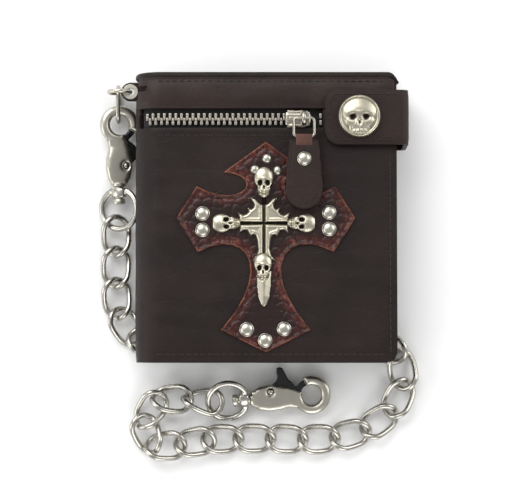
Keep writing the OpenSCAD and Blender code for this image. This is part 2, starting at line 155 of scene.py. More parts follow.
# ---- Shader nodes ----
class Val:
    """A socket that takes part in Python expressions."""

    def __init__(self, nodes, socket):
        self.nodes, self.socket = nodes, socket

    def _math(self, operation, *inputs):
        return self.nodes.add("ShaderNodeMath", {"operation": operation},
                              dict(enumerate(inputs)))

    def __add__(self, other):
        return self._math("ADD", self, other)

    def __sub__(self, other):
        return self._math("SUBTRACT", self, other)

    def __rsub__(self, other):
        return self._math("SUBTRACT", other, self)

    def __mul__(self, other):
        return self._math("MULTIPLY", self, other)

    __radd__ = __add__
    __rmul__ = __mul__

    def ramp(self, low, high):
        """0 below low, 1 above high, smooth between."""
        return self.nodes.add(
            "ShaderNodeMapRange", {"interpolation_type": "SMOOTHSTEP"},
            {"Value": self, "From Min": low, "From Max": high})


def opaque(colour):
    """A colour with its alpha; a socket stays as it is."""
    return colour if isinstance(colour, Val) else (*colour, 1)


def shade(colour, factor):
    """A colour made darker or lighter."""
    return tuple(c * factor for c in colour)


class Finish:
    """One material and its nodes."""

    def __init__(self, name):
        self.material = bpy.data.materials.new(name)
        self.material.use_nodes = True
        self.tree = self.material.node_tree
        self.tree.nodes.clear()
        self.place = self.add("ShaderNodeTexCoord", out="Object")

    def add(self, kind, settings=None, sockets=None, out=0):
        """Adds a node, sets it up, feeds its sockets and returns one output."""
        node = self.tree.nodes.new(kind)
        for key, value in (settings or {}).items():
            setattr(node, key, value)
        for key, value in (sockets or {}).items():
            if isinstance(value, Val):
                self.tree.links.new(value.socket, node.inputs[key])
            else:
                node.inputs[key].default_value = value
        return Val(self, node.outputs[out]) if node.outputs else None

    def noise(self, scale, detail=4, rough=0.55, at=None):
        """Cloudy noise; scale is in hills per metre."""
        return self.add("ShaderNodeTexNoise", None, {
            "Vector": at or self.place, "Scale": scale, "Detail": detail,
            "Roughness": rough})

    def cells(self, scale, at=None):
        """Distance from the edges of cells; scale is in cells per metre."""
        return self.add("ShaderNodeTexVoronoi", {"feature": "DISTANCE_TO_EDGE"}, {
            "Vector": at or self.place, "Scale": scale})

    def stretched(self, x, y, z):
        """Object coordinates scaled differently along each axis."""
        return self.add("ShaderNodeVectorMath", {"operation": "MULTIPLY"},
                        {0: self.place, 1: (x, y, z)})

    def mix(self, factor, a, b):
        """Colour mix; a and b are colours or sockets."""
        return self.add("ShaderNodeMix", {"data_type": "RGBA"},
                        {0: factor, 6: opaque(a), 7: opaque(b)}, out=2)

    def attribute(self, name):
        """A value that the mesh holds at each point."""
        return self.add("ShaderNodeAttribute", {"attribute_name": name}, out="Fac")

    def bump(self, height, depth, strength, under=None):
        """Relief of a depth in metres, laid over another bump if one is given."""
        sockets = {"Height": height, "Distance": depth, "Strength": strength}
        if under:
            sockets["Normal"] = under
        return self.add("ShaderNodeBump", None, sockets)

    def done(self, colour, roughness, normal=None, metallic=0.0, coat=0.0,
             coat_roughness=0.2, specular=0.2, sheen=0.0):
        """Feeds the surface shader and returns the finished material."""
        sockets = {"Base Color": opaque(colour), "Roughness": roughness,
                   "Metallic": metallic, "Coat Weight": coat, "Coat Roughness": coat_roughness,
                   "Specular IOR Level": specular, "Sheen Weight": sheen}
        if normal:
            sockets["Normal"] = normal
        shader = self.add("ShaderNodeBsdfPrincipled", None, sockets)
        self.add("ShaderNodeOutputMaterial", None, {"Surface": shader})
        return self.material


finishes = {}


def leather_finish(name, dark, light, grain, rough=0.5, coat=0.05):
    """Smooth dyed leather: fine pebbled grain, soft clouding, faint creases."""
    f = Finish(name)
    cloud = f.noise(38, 3, 0.5).ramp(0.35, 0.68)
    fine = f.noise(420, 5, 0.6)
    pores = f.cells(grain).ramp(0.0, 0.22)
    warped = f.add("ShaderNodeMix", {"data_type": "VECTOR"}, {
        0: 0.012, 4: f.stretched(1, 1.6, 1),
        5: f.add("ShaderNodeTexNoise", None, {"Vector": f.place, "Scale": 60.0},
                 out="Color")}, out=1)
    crease = f.cells(70.0, warped).ramp(0.0, 0.05)
    rub = f.noise(90, 6, 0.65).ramp(0.56, 0.78)
    colour = f.mix(cloud, dark, light)
    colour = f.mix(rub * 0.35, colour, shade(light, 1.7))
    colour = f.mix((1 - pores) * 0.35, colour, shade(dark, 0.55))
    bumps = f.bump(pores * 0.5 + fine * 0.6, 0.00022, 0.45)
    bumps = f.bump(crease, 0.0003, 0.22, bumps)
    return f.done(colour, fine * 0.18 + (rough - 0.09), bumps, coat=coat,
                  coat_roughness=0.32)


def croc_finish(settings):
    """Waxed crocodile-embossed leather, rubbed light along its cut edge."""
    f = Finish("croc_leather")
    edge = f.attribute("edge")
    valley = f.attribute("valley")
    near = 1 - edge.ramp(1.4, 5.2)
    rim = 1 - edge.ramp(0.2, 0.75)
    patch = f.noise(170, 4, 0.6).ramp(0.36, 0.62)
    hot = f.noise(300, 5, 0.7).ramp(0.52, 0.7)
    colour = f.mix(near * (0.25 + patch * 0.6), srgb(34, 20, 18), settings.croc)
    colour = f.mix(near * hot * 0.6, colour, srgb(140, 84, 72))
    colour = f.mix((1 - valley) * near * 0.75, colour, srgb(26, 12, 10))
    colour = f.mix(rim * (0.1 + patch * 0.65), colour, srgb(150, 96, 76))
    fine = f.noise(900, 4, 0.6)
    normal = f.bump(fine, 0.0002, 0.4)
    return f.done(colour, 0.34 + fine * 0.16, normal, coat=0.18, coat_roughness=0.2)


def metal_finish(name, colour, rough, tarnish=0.25, dark=None, scratch=0.25):
    """Plated or cast metal: hairline scratches, and tarnish in the low places."""
    f = Finish(name)
    cloud = f.noise(240, 5, 0.6)
    hair = f.noise(900, 3, 0.6, f.stretched(0.25, 1, 1))
    tone = f.mix(cloud.ramp(0.35, 0.75) * tarnish, colour, shade(colour, 0.62))
    if dark:
        tone = f.mix(f.attribute("low").ramp(0.15, 0.85), tone, dark)
    normal = f.bump(hair, 0.00005, scratch)
    return f.done(tone, cloud * 0.12 + (rough - 0.06), normal, metallic=1.0)


def weave_finish(name, colour, size):
    """Plain woven tape or cloth."""
    f = Finish(name)

    def yarn(axis):
        return f.add("ShaderNodeTexWave", {"bands_direction": axis}, {
            "Vector": f.place, "Scale": size, "Distortion": 0.6, "Detail": 1.0,
            "Detail Scale": 3.0}, out="Fac")
    both = yarn("X") * 0.5 + yarn("Y") * 0.5
    fuzz = f.noise(800, 3)
    tone = f.mix(both, shade(colour, 0.45), shade(colour, 1.5))
    return f.done(tone, 0.82, f.bump(both + fuzz * 0.3, 0.0002, 0.7), sheen=0.25)


def make_finishes(settings):
    """Makes every finish from the settings' colours."""
    brown = tuple(settings.leather)
    finishes["leather"] = leather_finish("brown_leather", shade(brown, 0.62), brown,
                                         settings.grain)
    # The band's finish is the brown leather painted lighter: a painted highlight where the band
    # curves over at the top.
    finishes["band"] = leather_finish("band_leather_painted_highlight", shade(brown, 1.05), shade(brown, 1.65),
                                      settings.grain, 0.44, 0.1)
    finishes["tab"] = leather_finish("tab_leather", shade(brown, 0.95), shade(brown, 1.5),
                                     settings.grain, 0.5)
    # The fold's lighter, pinker leather is a painted highlight along the edge rolled round the
    # ring.
    finishes["fold"] = leather_finish(
        "folded_leather_painted_highlight", srgb(62, 41, 34), srgb(104, 72, 61), settings.grain, 0.5)
    finishes["lining"] = leather_finish(
        "lining_leather", srgb(28, 23, 22), srgb(44, 36, 34), settings.grain * 1.4, 0.68, 0)
    finishes["croc"] = croc_finish(settings)
    finishes["nickel"] = metal_finish("nickel", tuple(settings.nickel), 0.33)
    finishes["chain"] = metal_finish("chain_nickel", srgb(188, 185, 177), 0.27, 0.2)
    finishes["pewter"] = metal_finish(
        "pewter", srgb(192, 186, 168), 0.37, 0.35, srgb(34, 30, 26), 0.4)
    finishes["zip"] = metal_finish("zip_metal", srgb(178, 172, 160), 0.3, 0.5,
                                   srgb(60, 56, 50))
    finishes["tape"] = weave_finish("zip_tape", srgb(26, 24, 24), 700)
    finishes["cloth"] = weave_finish("bag_cloth", srgb(36, 34, 34), 420)
    finishes["thread"] = weave_finish("thread", tuple(settings.thread), 1600)
    f = Finish("black_metal")
    finishes["black"] = f.done(srgb(22, 22, 23), f.noise(300).ramp(0.3, 0.8) * 0.15 + 0.2,
                               f.bump(f.noise(500), 0.00004, 0.3), coat=0.6)
    f = Finish("floor")
    finishes["floor"] = f.done(f.mix(f.noise(30), (0.9, 0.9, 0.9), (0.93, 0.93, 0.93)), 0.9)


# ---- Meshes, as pairs of corner points and faces ----
def smooth_step(t):
    """0 below nought, 1 above one, smooth between."""
    t = np.clip(t, 0, 1)
    return t * t * (3 - 2 * t)


def bands(rows, columns, around=False, along=False):
    """Quads of a grid of points; around closes its columns, along its rows."""
    i, j = np.meshgrid(np.arange(rows if along else rows - 1),
                       np.arange(columns if around else columns - 1), indexing="ij")
    i, j = i.ravel(), j.ravel()
    p, q = (i + 1) % rows, (j + 1) % columns
    return np.stack([i * columns + j, p * columns + j, p * columns + q,
                     i * columns + q], 1).tolist()


def sweep(path, radius, sides=12, closed=False, ref=None, flat=1.0):
    """Round or flattened bar along a path; ref points away from the bar's inside."""
    path = np.asarray(path, float)
    if closed:
        along = np.roll(path, -1, 0) - np.roll(path, 1, 0)
    else:
        along = np.gradient(path, axis=0)
    along /= np.linalg.norm(along, axis=1, keepdims=True)
    ref = np.broadcast_to(path - path.mean(0) if ref is None else ref, path.shape)
    side = np.cross(along, ref)
    side /= np.linalg.norm(side, axis=1, keepdims=True)
    out = np.cross(side, along)
    radius = np.broadcast_to(radius, len(path))[:, None, None]
    a = (2 * np.pi * (np.arange(sides) + 0.5) / sides)[None, :, None]
    ring = np.cos(a) * out[:, None] + flat * np.sin(a) * side[:, None]
    points = path[:, None] + radius * ring
    faces = bands(len(path), sides, around=True, along=closed)
    if not closed:
        faces += [list(range(sides)), list(range((len(path) - 1) * sides, len(path) * sides))]
    return points.reshape(-1, 3), faces


def revolve(profile, at=(0, 0, 0), segments=48, axis="z", squeeze=(1, 1)):
    """Turned shape from (radius, height) pairs, closed where the radius is nought."""
    profile = np.asarray(profile, float)
    a = 2 * np.pi * np.arange(segments) / segments
    r, h = profile[:, :1], np.repeat(profile[:, 1:], segments, 1)
    c, s = r * np.cos(a) * squeeze[0], r * np.sin(a) * squeeze[1]
    points = np.stack([c, s, h] if axis == "z" else [h, c, s], 2).reshape(-1, 3)
    return points + np.asarray(at, float), bands(len(profile), segments, around=True)


def circle(centre, radius, n=96, start=0.0, turn=360.0):
    """Points of a circle or, with its start and turn in degrees, of an arc."""
    a = np.radians(start + turn * np.arange(n) / (n if turn == 360 else n - 1))
    return np.stack([centre[0] + radius * np.cos(a), centre[1] + radius * np.sin(a)], 1)


def into(outline, x, y):
    """How far each point is inside a closed outline; negative outside."""
    a = np.asarray(outline, float)
    b = np.roll(a, -1, 0)
    p = np.stack([x, y], -1)[..., None, :]
    t = ((p - a) * (b - a)).sum(-1) / np.maximum(((b - a) ** 2).sum(-1), 1e-12)
    near = a + np.clip(t, 0, 1)[..., None] * (b - a)
    distance = np.sqrt(((p - near) ** 2).sum(-1)).min(-1)
    py, px = p[..., 1], p[..., 0]
    crosses = (a[:, 1] > py) != (b[:, 1] > py)
    slope = np.where(b[:, 1] == a[:, 1], 1, b[:, 1] - a[:, 1])
    left = px < (b[:, 0] - a[:, 0]) * (py - a[:, 1]) / slope + a[:, 0]
    return np.where((crosses & left).sum(-1) % 2 == 1, distance, -distance)


def rounded(depth, width):
    """Quarter round from 0 at an edge to 1 at a width inside it."""
    return np.sqrt(np.clip(1 - (1 - np.minimum(depth / width, 1)) ** 2, 0, 1))


def relief(depth, box, step, top, bottom):
    """Closed shape whose outline is where depth(x, y) is nought, with its upper and
    lower faces given as heights; returns points, faces and each point's depth."""
    (x0, x1), (y0, y1) = box
    x, y = np.meshgrid(np.arange(x0 - step, x1 + 2 * step, step),
                       np.arange(y0 - step, y1 + 2 * step, step), indexing="ij")
    d = depth(x, y)
    tiny = step * 0.05
    gx = depth(x + tiny, y) - depth(x - tiny, y)
    gy = depth(x, y + tiny) - depth(x, y - tiny)
    size = np.maximum(np.hypot(gx, gy), 1e-9)
    out = d < 0
    near = d > -1.45 * step
    for _ in range(2):
        x = np.where(out & near, x - gx / size * d, x)
        y = np.where(out & near, y - gy / size * d, y)
        d = np.where(out & near, depth(x, y), d)
    d = np.where(out & near, 0, d)
    quad = lambda m: np.stack([m[:-1, :-1], m[1:, :-1], m[1:, 1:], m[:-1, 1:]], -1)
    keep = quad(near).all(-1) & (~quad(out)).any(-1)
    number = np.arange(x.size).reshape(x.shape)
    cells = quad(number)[keep]
    used, cells = np.unique(cells, return_inverse=True)
    cells = cells.reshape(-1, 4)
    px, py, pd = x.ravel()[used], y.ravel()[used], d.ravel()[used]
    n = len(used)
    points = np.concatenate([np.stack([px, py, top(px, py, pd)], 1),
                             np.stack([px, py, bottom(px, py, pd)], 1)])
    edges = np.concatenate([cells[:, [k, (k + 1) % 4]] for k in range(4)])
    code = np.sort(edges, 1) @ [n, 1]
    _, first, count = np.unique(code, return_index=True, return_counts=True)
    rim = edges[first[count == 1]]
    faces = cells.tolist() + (cells[:, ::-1] + n).tolist()
    faces += np.stack([rim[:, 1], rim[:, 0], rim[:, 0] + n, rim[:, 1] + n], 1).tolist()
    return points, faces, np.concatenate([pd, pd])


def joined(parts):
    """Several point and face pairs as one."""
    points, faces, start = [], [], 0
    for part in parts:
        points.append(part[0])
        faces += [[v + start for v in f] for f in part[1]]
        start += len(part[0])
    return np.concatenate(points), faces


def rounded_blocks(blocks, soften=0.25):
    """Blocks with rounded edges, each given as its low and high corner."""
    bm = bmesh.new()
    for low, high in blocks:
        made = bmesh.ops.create_cube(bm, size=1)["verts"]
        for v in made:
            v.co = [(lo + hi) / 2 + c * (hi - lo) for lo, hi, c in zip(low, high, v.co)]
    bmesh.ops.bevel(bm, geom=list(bm.edges), offset=soften, segments=3, affect="EDGES",
                    profile=0.6)
    bm.verts.ensure_lookup_table()
    shape = (np.array([v.co for v in bm.verts]),
             [[v.index for v in f.verts] for f in bm.faces])
    bm.free()
    return shape


def mesh_of(name, shape, matrix, weld, values):
    """Smooth-shaded mesh in the row frame, with values held at its points."""
    points, faces = shape[0], shape[1]
    mesh = bpy.data.meshes.new(name)
    mesh.from_pydata([tuple(p) for p in points], [], faces)
    for key, value in (values or {}).items():
        mesh.attributes.new(key, "FLOAT", "POINT").data.foreach_set(
            "value", np.asarray(value, np.float32))
    mesh.transform(matrix)
    bm = bmesh.new()
    bm.from_mesh(mesh)
    if weld:
        bmesh.ops.remove_doubles(bm, verts=bm.verts, dist=1e-7)
    bmesh.ops.recalc_face_normals(bm, faces=bm.faces)
    bm.to_mesh(mesh)
    bm.free()
    mesh.polygons.foreach_set("use_smooth", [True] * len(mesh.polygons))
    mesh.set_sharp_from_angle(angle=math.radians(42))
    return mesh


def piece(name, mesh, material, body, nodes=()):
    """A visible piece that rides on a body and stands for its CAD nodes."""
    obj = bpy.data.objects.new(name, mesh)
    bpy.context.scene.collection.objects.link(obj)
    if not mesh.materials:
        mesh.materials.append(finishes[material])
    if body:
        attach(obj, body)
    if nodes:
        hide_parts(*nodes)
    return obj


def build(name, shape, material, body, nodes=(), matrix=WALLET, weld=False,
          values=None):
    """A piece from points and faces in a frame of its own."""
    return piece(name, mesh_of(name, shape, matrix, weld, values), material, body, nodes)


def leather_sheet(name, points, thickness, soften, hole=None):
    """Leather of one thickness under a grid of points, its edges rounded over.
    hole marks the grid's cells that are cut away."""
    rows, columns = points.shape[:2]
    faces = bands(rows, columns)
    if hole is not None:
        faces = [f for f, cut in zip(faces, hole.ravel()) if not cut]
    mesh = bpy.data.meshes.new(name)
    mesh.from_pydata([tuple(p) for p in points.reshape(-1, 3)], [], faces)
    bm = bmesh.new()
    bm.from_mesh(mesh)
    bmesh.ops.delete(bm, geom=[v for v in bm.verts if not v.link_faces], context="VERTS")
    bm.to_mesh(mesh)
    bm.free()
    obj = bpy.data.objects.new(name, mesh)
    bpy.context.scene.collection.objects.link(obj)
    solid = obj.modifiers.new("thickness", "SOLIDIFY")
    solid.thickness, solid.offset = thickness, 1
    solid.use_even_offset = True
    bevel = obj.modifiers.new("edges", "BEVEL")
    bevel.width, bevel.segments, bevel.limit_method = soften, 3, "ANGLE"
    bevel.angle_limit = math.radians(50)
    graph = bpy.context.evaluated_depsgraph_get()
    done = bpy.data.meshes.new_from_object(obj.evaluated_get(graph))
    bpy.data.objects.remove(obj)
    bpy.data.meshes.remove(mesh)
    done.transform(WALLET)
    done.polygons.foreach_set("use_smooth", [True] * len(done.polygons))
    done.set_sharp_from_angle(angle=math.radians(48))
    return done


def leather_piece(name, points, thickness, soften, material, body, nodes=(), hole=None):
    """A sheet of leather or tape that rides on a body."""
    mesh = leather_sheet(name, points, thickness, soften, hole)
    return piece(name, mesh, material, body, nodes)


def waves(x, y, size, seed):
    """Soft random hills between -1 and 1, a given size across."""
    rng = np.random.default_rng(seed)
    total = 0
    for _ in range(7):
        way, phase = rng.uniform(0, np.pi), rng.uniform(0, 2 * np.pi)
        k = 2 * np.pi / (size * rng.uniform(0.7, 1.6))
        total = total + np.sin(k * (x * np.cos(way) + y * np.sin(way)) + phase)
    return total / 4


# ---- Leather covers ----
def corner_tuck(past, radius):
    """How far a rounded corner draws a sheet's sides in, this far past its start."""
    return radius - math.sqrt(max(radius ** 2 - past ** 2, 0)) if past > 0 else 0


def cover_lines():
    """Profile stations round the spine and across the cover: arc angle or x."""
    arc = [("arc", a) for a in np.radians(np.linspace(2, 90, 22))]
    flat = [("flat", x) for x in np.arange(SPINE_X + 1, HALF_W - 0.4, 1.0)]
    return arc + flat + [("flat", HALF_W)]


def edge_fade(x, y):
    """Distance from the nearest sewn edge: right, top or bottom."""
    return np.minimum(np.minimum(HALF_W - x, HALF_H - y), HALF_H + y)


def outer_surface(up, lift, y_lines, stations, relief_of):
    """Points of a cover's outside, with corners rounded at its open edge."""
    sign = 1 if up else -1
    rows = []
    for kind, value in stations:
        if kind == "arc":
            nx, nz = -math.cos(value), math.sin(value)
            x = SPINE_X + SPINE_R * nx
            z = SPINE_R * nz
        else:
            nx, nz, x, z = 0, 1, value, SPINE_R
        tuck = corner_tuck(x - HALF_W + COVER_CORNER, COVER_CORNER)
        y = y_lines * (HALF_H - tuck) / HALF_H
        h = relief_of(np.full_like(y, x), y) + lift
        rows.append(np.stack([x + nx * h, y, SPINE_R + sign * (z + nz * h)], 1))
    return np.array(rows)


def cell_middles(grid):
    """Middle of each cell of a grid of points."""
    return (grid[:-1, :-1] + grid[1:, 1:]) / 2


def front_relief(x, y):
    """Height of the front leather over its flat shape: puff, creases, rolled top."""
    edge = edge_fade(x, y)
    puff = 0.22 * waves(x, y, 34, 3) * smooth_step(edge / 10)
    puff = puff - 0.55 * (1 - smooth_step(edge / 7))
    crease = 0.1 * waves(x * 0.35, y, 9, 8) * smooth_step(edge / 12)
    roll = 0.75 * np.sqrt(np.clip(1 - ((y - HALF_H + 1.3) / 1.3) ** 2, 0, 1))
    lip = 0.3 * np.exp(-((y - WINDOW_Y[0] + 1.2) / 1.3) ** 2) * (x < WINDOW_END + 3)
    return puff + crease + roll + lip


def back_relief(x, y):
    """Height of the back leather over its flat shape."""
    edge = edge_fade(x, y)
    return -0.35 * (1 - smooth_step(edge / 6)) + 0.15 * waves(x, y, 40, 5)


def covers():
    """Both leather covers, with the zip's window and the notches for the tab."""
    y = np.unique(np.concatenate([np.arange(-HALF_H, HALF_H + 0.1, 1.0),
                                  np.linspace(HALF_H - 3, HALF_H, 9), WINDOW_Y,
                                  np.linspace(49.5, 58.5, 10)]))
    stations = cover_lines()
    grid = outer_surface(True, 0, y, stations, front_relief)
    middle = cell_middles(grid)
    slit = (middle[..., 1] > WINDOW_Y[0]) & (middle[..., 1] < WINDOW_Y[1])
    window = slit & (middle[..., 0] > -53.2) & (middle[..., 0] < WINDOW_END)
    beside = np.abs(middle[..., 1] - TAB_Y)
    notch = (beside < 4.5) & (middle[..., 0] < -46.5) & (middle[..., 2] < 19.5)
    leather_piece("front_cover_leather", grid, -LEATHER_T, EDGE, "leather", "wallet_front",
                  ["front_cover"], window | notch)
    grid = outer_surface(False, 0, y, stations, back_relief)
    middle = cell_middles(grid)
    beside = np.abs(middle[..., 1] - TAB_Y)
    notch = (beside < 4.3) & (middle[..., 0] < -53.2) & (middle[..., 2] > 8.3)
    leather_piece("back_cover_leather", grid, LEATHER_T, EDGE, "leather", "wallet_back",
                  ["back_cover"], notch)


def top_band():
    """Strip of leather sewn on above the zip."""
    y = np.unique(np.concatenate([np.linspace(BAND_Y, HALF_H - 2.4, 24),
                                  np.linspace(BAND_Y, BAND_Y + 1, 4)]))
    stations = [s for s in cover_lines() if not (s[0] == "arc" and s[1] < math.radians(24))
                and not (s[0] == "flat" and s[1] > HALF_W - 0.6)]

    def shape(x, yy):
        sewn = np.minimum(yy - BAND_Y, HALF_H - 2.4 - yy)
        return (front_relief(x, yy) * 0.8 - 0.35 * (1 - smooth_step(sewn / 3.5))
                + 0.35 * smooth_step(sewn / 6) + 0.12 * waves(x, yy, 16, 21))
    grid = outer_surface(True, 1.0, y, stations, shape)
    # A slot at the spine lets the hanging ring pass when the cover swings open
    middle = cell_middles(grid)
    across = np.abs(middle[..., 1] - TAB_Y)
    slot = (across < 1.3) & (middle[..., 0] < -50.0) | (across < 4.4) & (middle[..., 0] < -53.9)
    # Its finish is painted lighter than the covers: a painted highlight on the band's curve.
    leather_piece("top_band_leather", grid, -1.0, 0.35, "band", "wallet_front", ["top_band"],
                  slot)


def stitched(line, lift, pitch=3.0, length=2.2, wire=0.27):
    """Stitches along a line of points, each dipping into the leather at its ends."""
    line = np.asarray(line, float)
    run = np.concatenate([[0], np.cumsum(np.linalg.norm(np.diff(line, axis=0), axis=1))])
    parts = []
    for start in np.arange(0.6, run[-1] - length, pitch):
        at = start + length * np.array([0, 0.12, 0.5, 0.88, 1])
        p = np.stack([np.interp(at, run, line[:, k]) for k in range(3)], 1)
        p[:, 2] += lift + np.array([-0.42, 0.0, 0.1, 0.0, -0.42])
        parts.append(sweep(p, wire * np.array([0.7, 1, 1.05, 1, 0.7]), 7, ref=(0.02, 0.01, 1)))
    return joined(parts)


def stitching():
    """Rows of stitches on the cover, the band and the strap."""
    def at_height(xs, ys, rise):
        xs, ys = np.broadcast_arrays(np.asarray(xs, float), np.asarray(ys, float))
        return np.stack([xs, ys, WALLET_T + front_relief(xs, ys) + rise], 1)
    x = np.linspace(-46, 51, 110)
    y = np.linspace(-57.5, 29, 80)
    cover = [
        stitched(at_height(np.linspace(-46, 52, 110), -57.8, 0), 0.02),
        stitched(at_height(52.2, y, 0), 0.02),
        stitched(at_height(x[x < 22], 34.2, 0), 0.02),
        stitched(at_height([52.2] * 8, np.linspace(53.5, 57, 8), 0), 0.02),
    ]
    band = [
        stitched(at_height(x, 57.0, 0.95), 0.02),
        stitched(at_height(x[x < 24], BAND_Y + 1.5, 0.62), 0.02),
    ]
    build("cover_stitches", joined(cover + band), "thread", "wallet_front")
    inset = 1.7
    low, high = STRAP_Y[0] + inset, STRAP_Y[1] - inset
    right = np.linspace(31, 55.5, 30)
    r = STRAP_CORNER - inset
    path = np.concatenate([np.stack([right[::-1], np.full(30, high)], 1),
                           circle((STRAP_BEND, STRAP_Y[1] - STRAP_CORNER), r, 12, 90, 90),
                           circle((STRAP_BEND, STRAP_Y[0] + STRAP_CORNER), r, 12, 180, 90),
                           np.stack([right, np.full(30, low)], 1)])
    path = np.column_stack([path, np.full(len(path), STRAP_TOP)])
    build("strap_stitches", stitched(path, 0.03, 2.6, 1.9, 0.22), "thread", "snap_strap")


# ---- Inside ----
def flat_leather(x0, x1, y0, y1, top, seed, notch=False):
    """Points of a flat inner piece, rounded at its open corners; a notch for the
    thumb dips its upper edge."""
    corner, sag = 3.0, 0.075
    rows = []
    x = np.unique(np.concatenate([np.arange(x0, x1, 2.0), np.linspace(x1 - corner, x1, 7)]))
    for value in x:
        tuck = corner_tuck(value - x1 + corner, corner)
        dip = 5 * math.exp(-((value - (x0 + x1) / 2) / 9) ** 4) if notch else 0
        y = np.linspace(y0 + tuck, y1 - tuck - dip, 40)
        rows.append(np.stack([np.full_like(y, value), y,
                              top + sag * (waves(y * 0 + value, y, 45, seed) - 1)], 1))
    return np.array(rows)


def inside():
    """Card pockets, note divider and lining, then the coin bag."""
    pocket_step, pocket_rise = 12, 1.3
    for i in range(4):
        grid = flat_leather(SPINE_X + 2, HALF_W - 2, -HALF_H + 2,
                            HALF_H - 6 - pocket_step * i,
                            LEATHER_T + 1.05 + pocket_rise * i, seed=11 + i, notch=i > 0)
        leather_piece("card_pocket_%d" % (i + 1), grid, -0.95, 0.3, "lining", "wallet_back",
                      ["card_pockets"] if i == 0 else ())
    grid = flat_leather(SPINE_X + 2, HALF_W - 1.5, -HALF_H + 1.5, HALF_H - 2, SPINE_R - 1.4,
                        seed=31)
    leather_piece("bill_divider_leather", grid, -0.95, 0.3, "lining", "wallet_back",
                  ["bill_divider"])
    grid = flat_leather(SPINE_X + 1, HALF_W - 1, -HALF_H + 1, HALF_H - 1, SPINE_R + 1.3,
                        seed=41)
    leather_piece("front_lining_leather", grid, -0.95, 0.3, "lining", "wallet_front",
                  ["front_lining"])
    seams = []
    for i in range(4):
        y = HALF_H - 6 - pocket_step * i - (6.5 if i else 1.5)
        x = np.linspace(SPINE_X + 6, HALF_W - 6, 60)
        z = LEATHER_T + 1.0 + pocket_rise * i
        line = np.stack([x, np.full(60, y), np.full(60, z)], 1)
        seams.append(stitched(line, 0, 3.2))
    build("pocket_stitches", joined(seams), "thread", "wallet_back")
    bag()


def bag():
    """Puffed cloth coin pocket: two bowed skins meeting in a sewn edge."""
    low, high = (-41.0, -39.0), (45.0, 44.5)
    mid, half = 15.95, 2.95
    outline = [(low[0], low[1]), (high[0], low[1]), (high[0], high[1]), (low[0], high[1])]
    mouth = [(-40, 38.2), (23.5, 38.2), (23.5, 43.8), (-40, 43.8)]

    def depth(x, y):
        return np.minimum(into(outline, x, y), -into(mouth, x, y))
    bow = lambda d: rounded(d, 5)
    shape = relief(depth, ((low[0], high[0]), (low[1], high[1])), 1.5,
                   lambda x, y, d: mid + half * bow(d) + 0.3 + 0.25 * waves(x, y, 15, 6),
                   lambda x, y, d: mid - half * bow(d) - 0.1 + 0.1 * waves(x, y, 15, 7))
    build("coin_bag_cloth", shape, "cloth", "wallet_front", ["coin_bag"])


# ---- Zip ----
def zip_height(x):
    """Top of the zip's cloth at x: level, then down round the spine."""
    x = np.asarray(x, float)
    r = SPINE_R - 1.0
    bent = SPINE_R + np.sqrt(np.clip(r ** 2 - (x - SPINE_X) ** 2, 0, None))
    return np.where(x < SPINE_X, bent, SPINE_R + r) - 0.9


def zip_parts():
    """Tapes, both rows of teeth with their end stops, slider and pull."""
    x = np.linspace(-51.5, WINDOW_END + 2, 110)
    for name, y0, y1 in (("zip_tape_upper", 41.15, 46.3), ("zip_tape_lower", 35.7, 40.85)):
        y = np.linspace(y0, y1, 12)
        grid = np.stack([np.repeat(x[:, None], 12, 1), np.repeat(y[None], len(x), 0),
                         np.repeat(zip_height(x)[:, None], 12, 1)], 2)
        cord = 0.35 * np.exp(-((y - ZIP_Y) / 0.9) ** 2)
        grid[..., 2] += cord[None]
        leather_piece(name, grid, -0.55, 0.15, "tape", "wallet_front",
                      ["zip_tape"] if "upper" in name else ())
    for side, name, node in ((1, "upper_teeth", "zip_teeth_upper"),
                             (-1, "lower_teeth", "zip_teeth_lower")):
        parts = []
        first = -50.4 + (0 if side > 0 else TOOTH_PITCH / 2)
        for left in np.arange(first, 12.1, TOOTH_PITCH):
            z = float(zip_height(left)) + 0.15
            near, mid, far = ZIP_Y - 0.5 * side, ZIP_Y + 0.9 * side, ZIP_Y + 2.5 * side
            parts.append(rounded_blocks([
                ((left, min(mid, far), z), (left + 1.15, max(mid, far), z + 1.5)),
                ((left + 0.08, min(near, mid + 0.2 * side), z + 0.2),
                 (left + 1.07, max(near, mid + 0.2 * side), z + 1.7))], 0.26))
        left = WINDOW_END - 1.5
        y0, y1 = sorted((ZIP_Y + 0.4 * side, ZIP_Y + 2.4 * side))
        parts.append(rounded_blocks([((left, y0, 20.1), (left + 1.2, y1, 21.8))], 0.25))
        build(name, joined(parts), "zip", "wallet_front", [node])
    slider()
    pull()


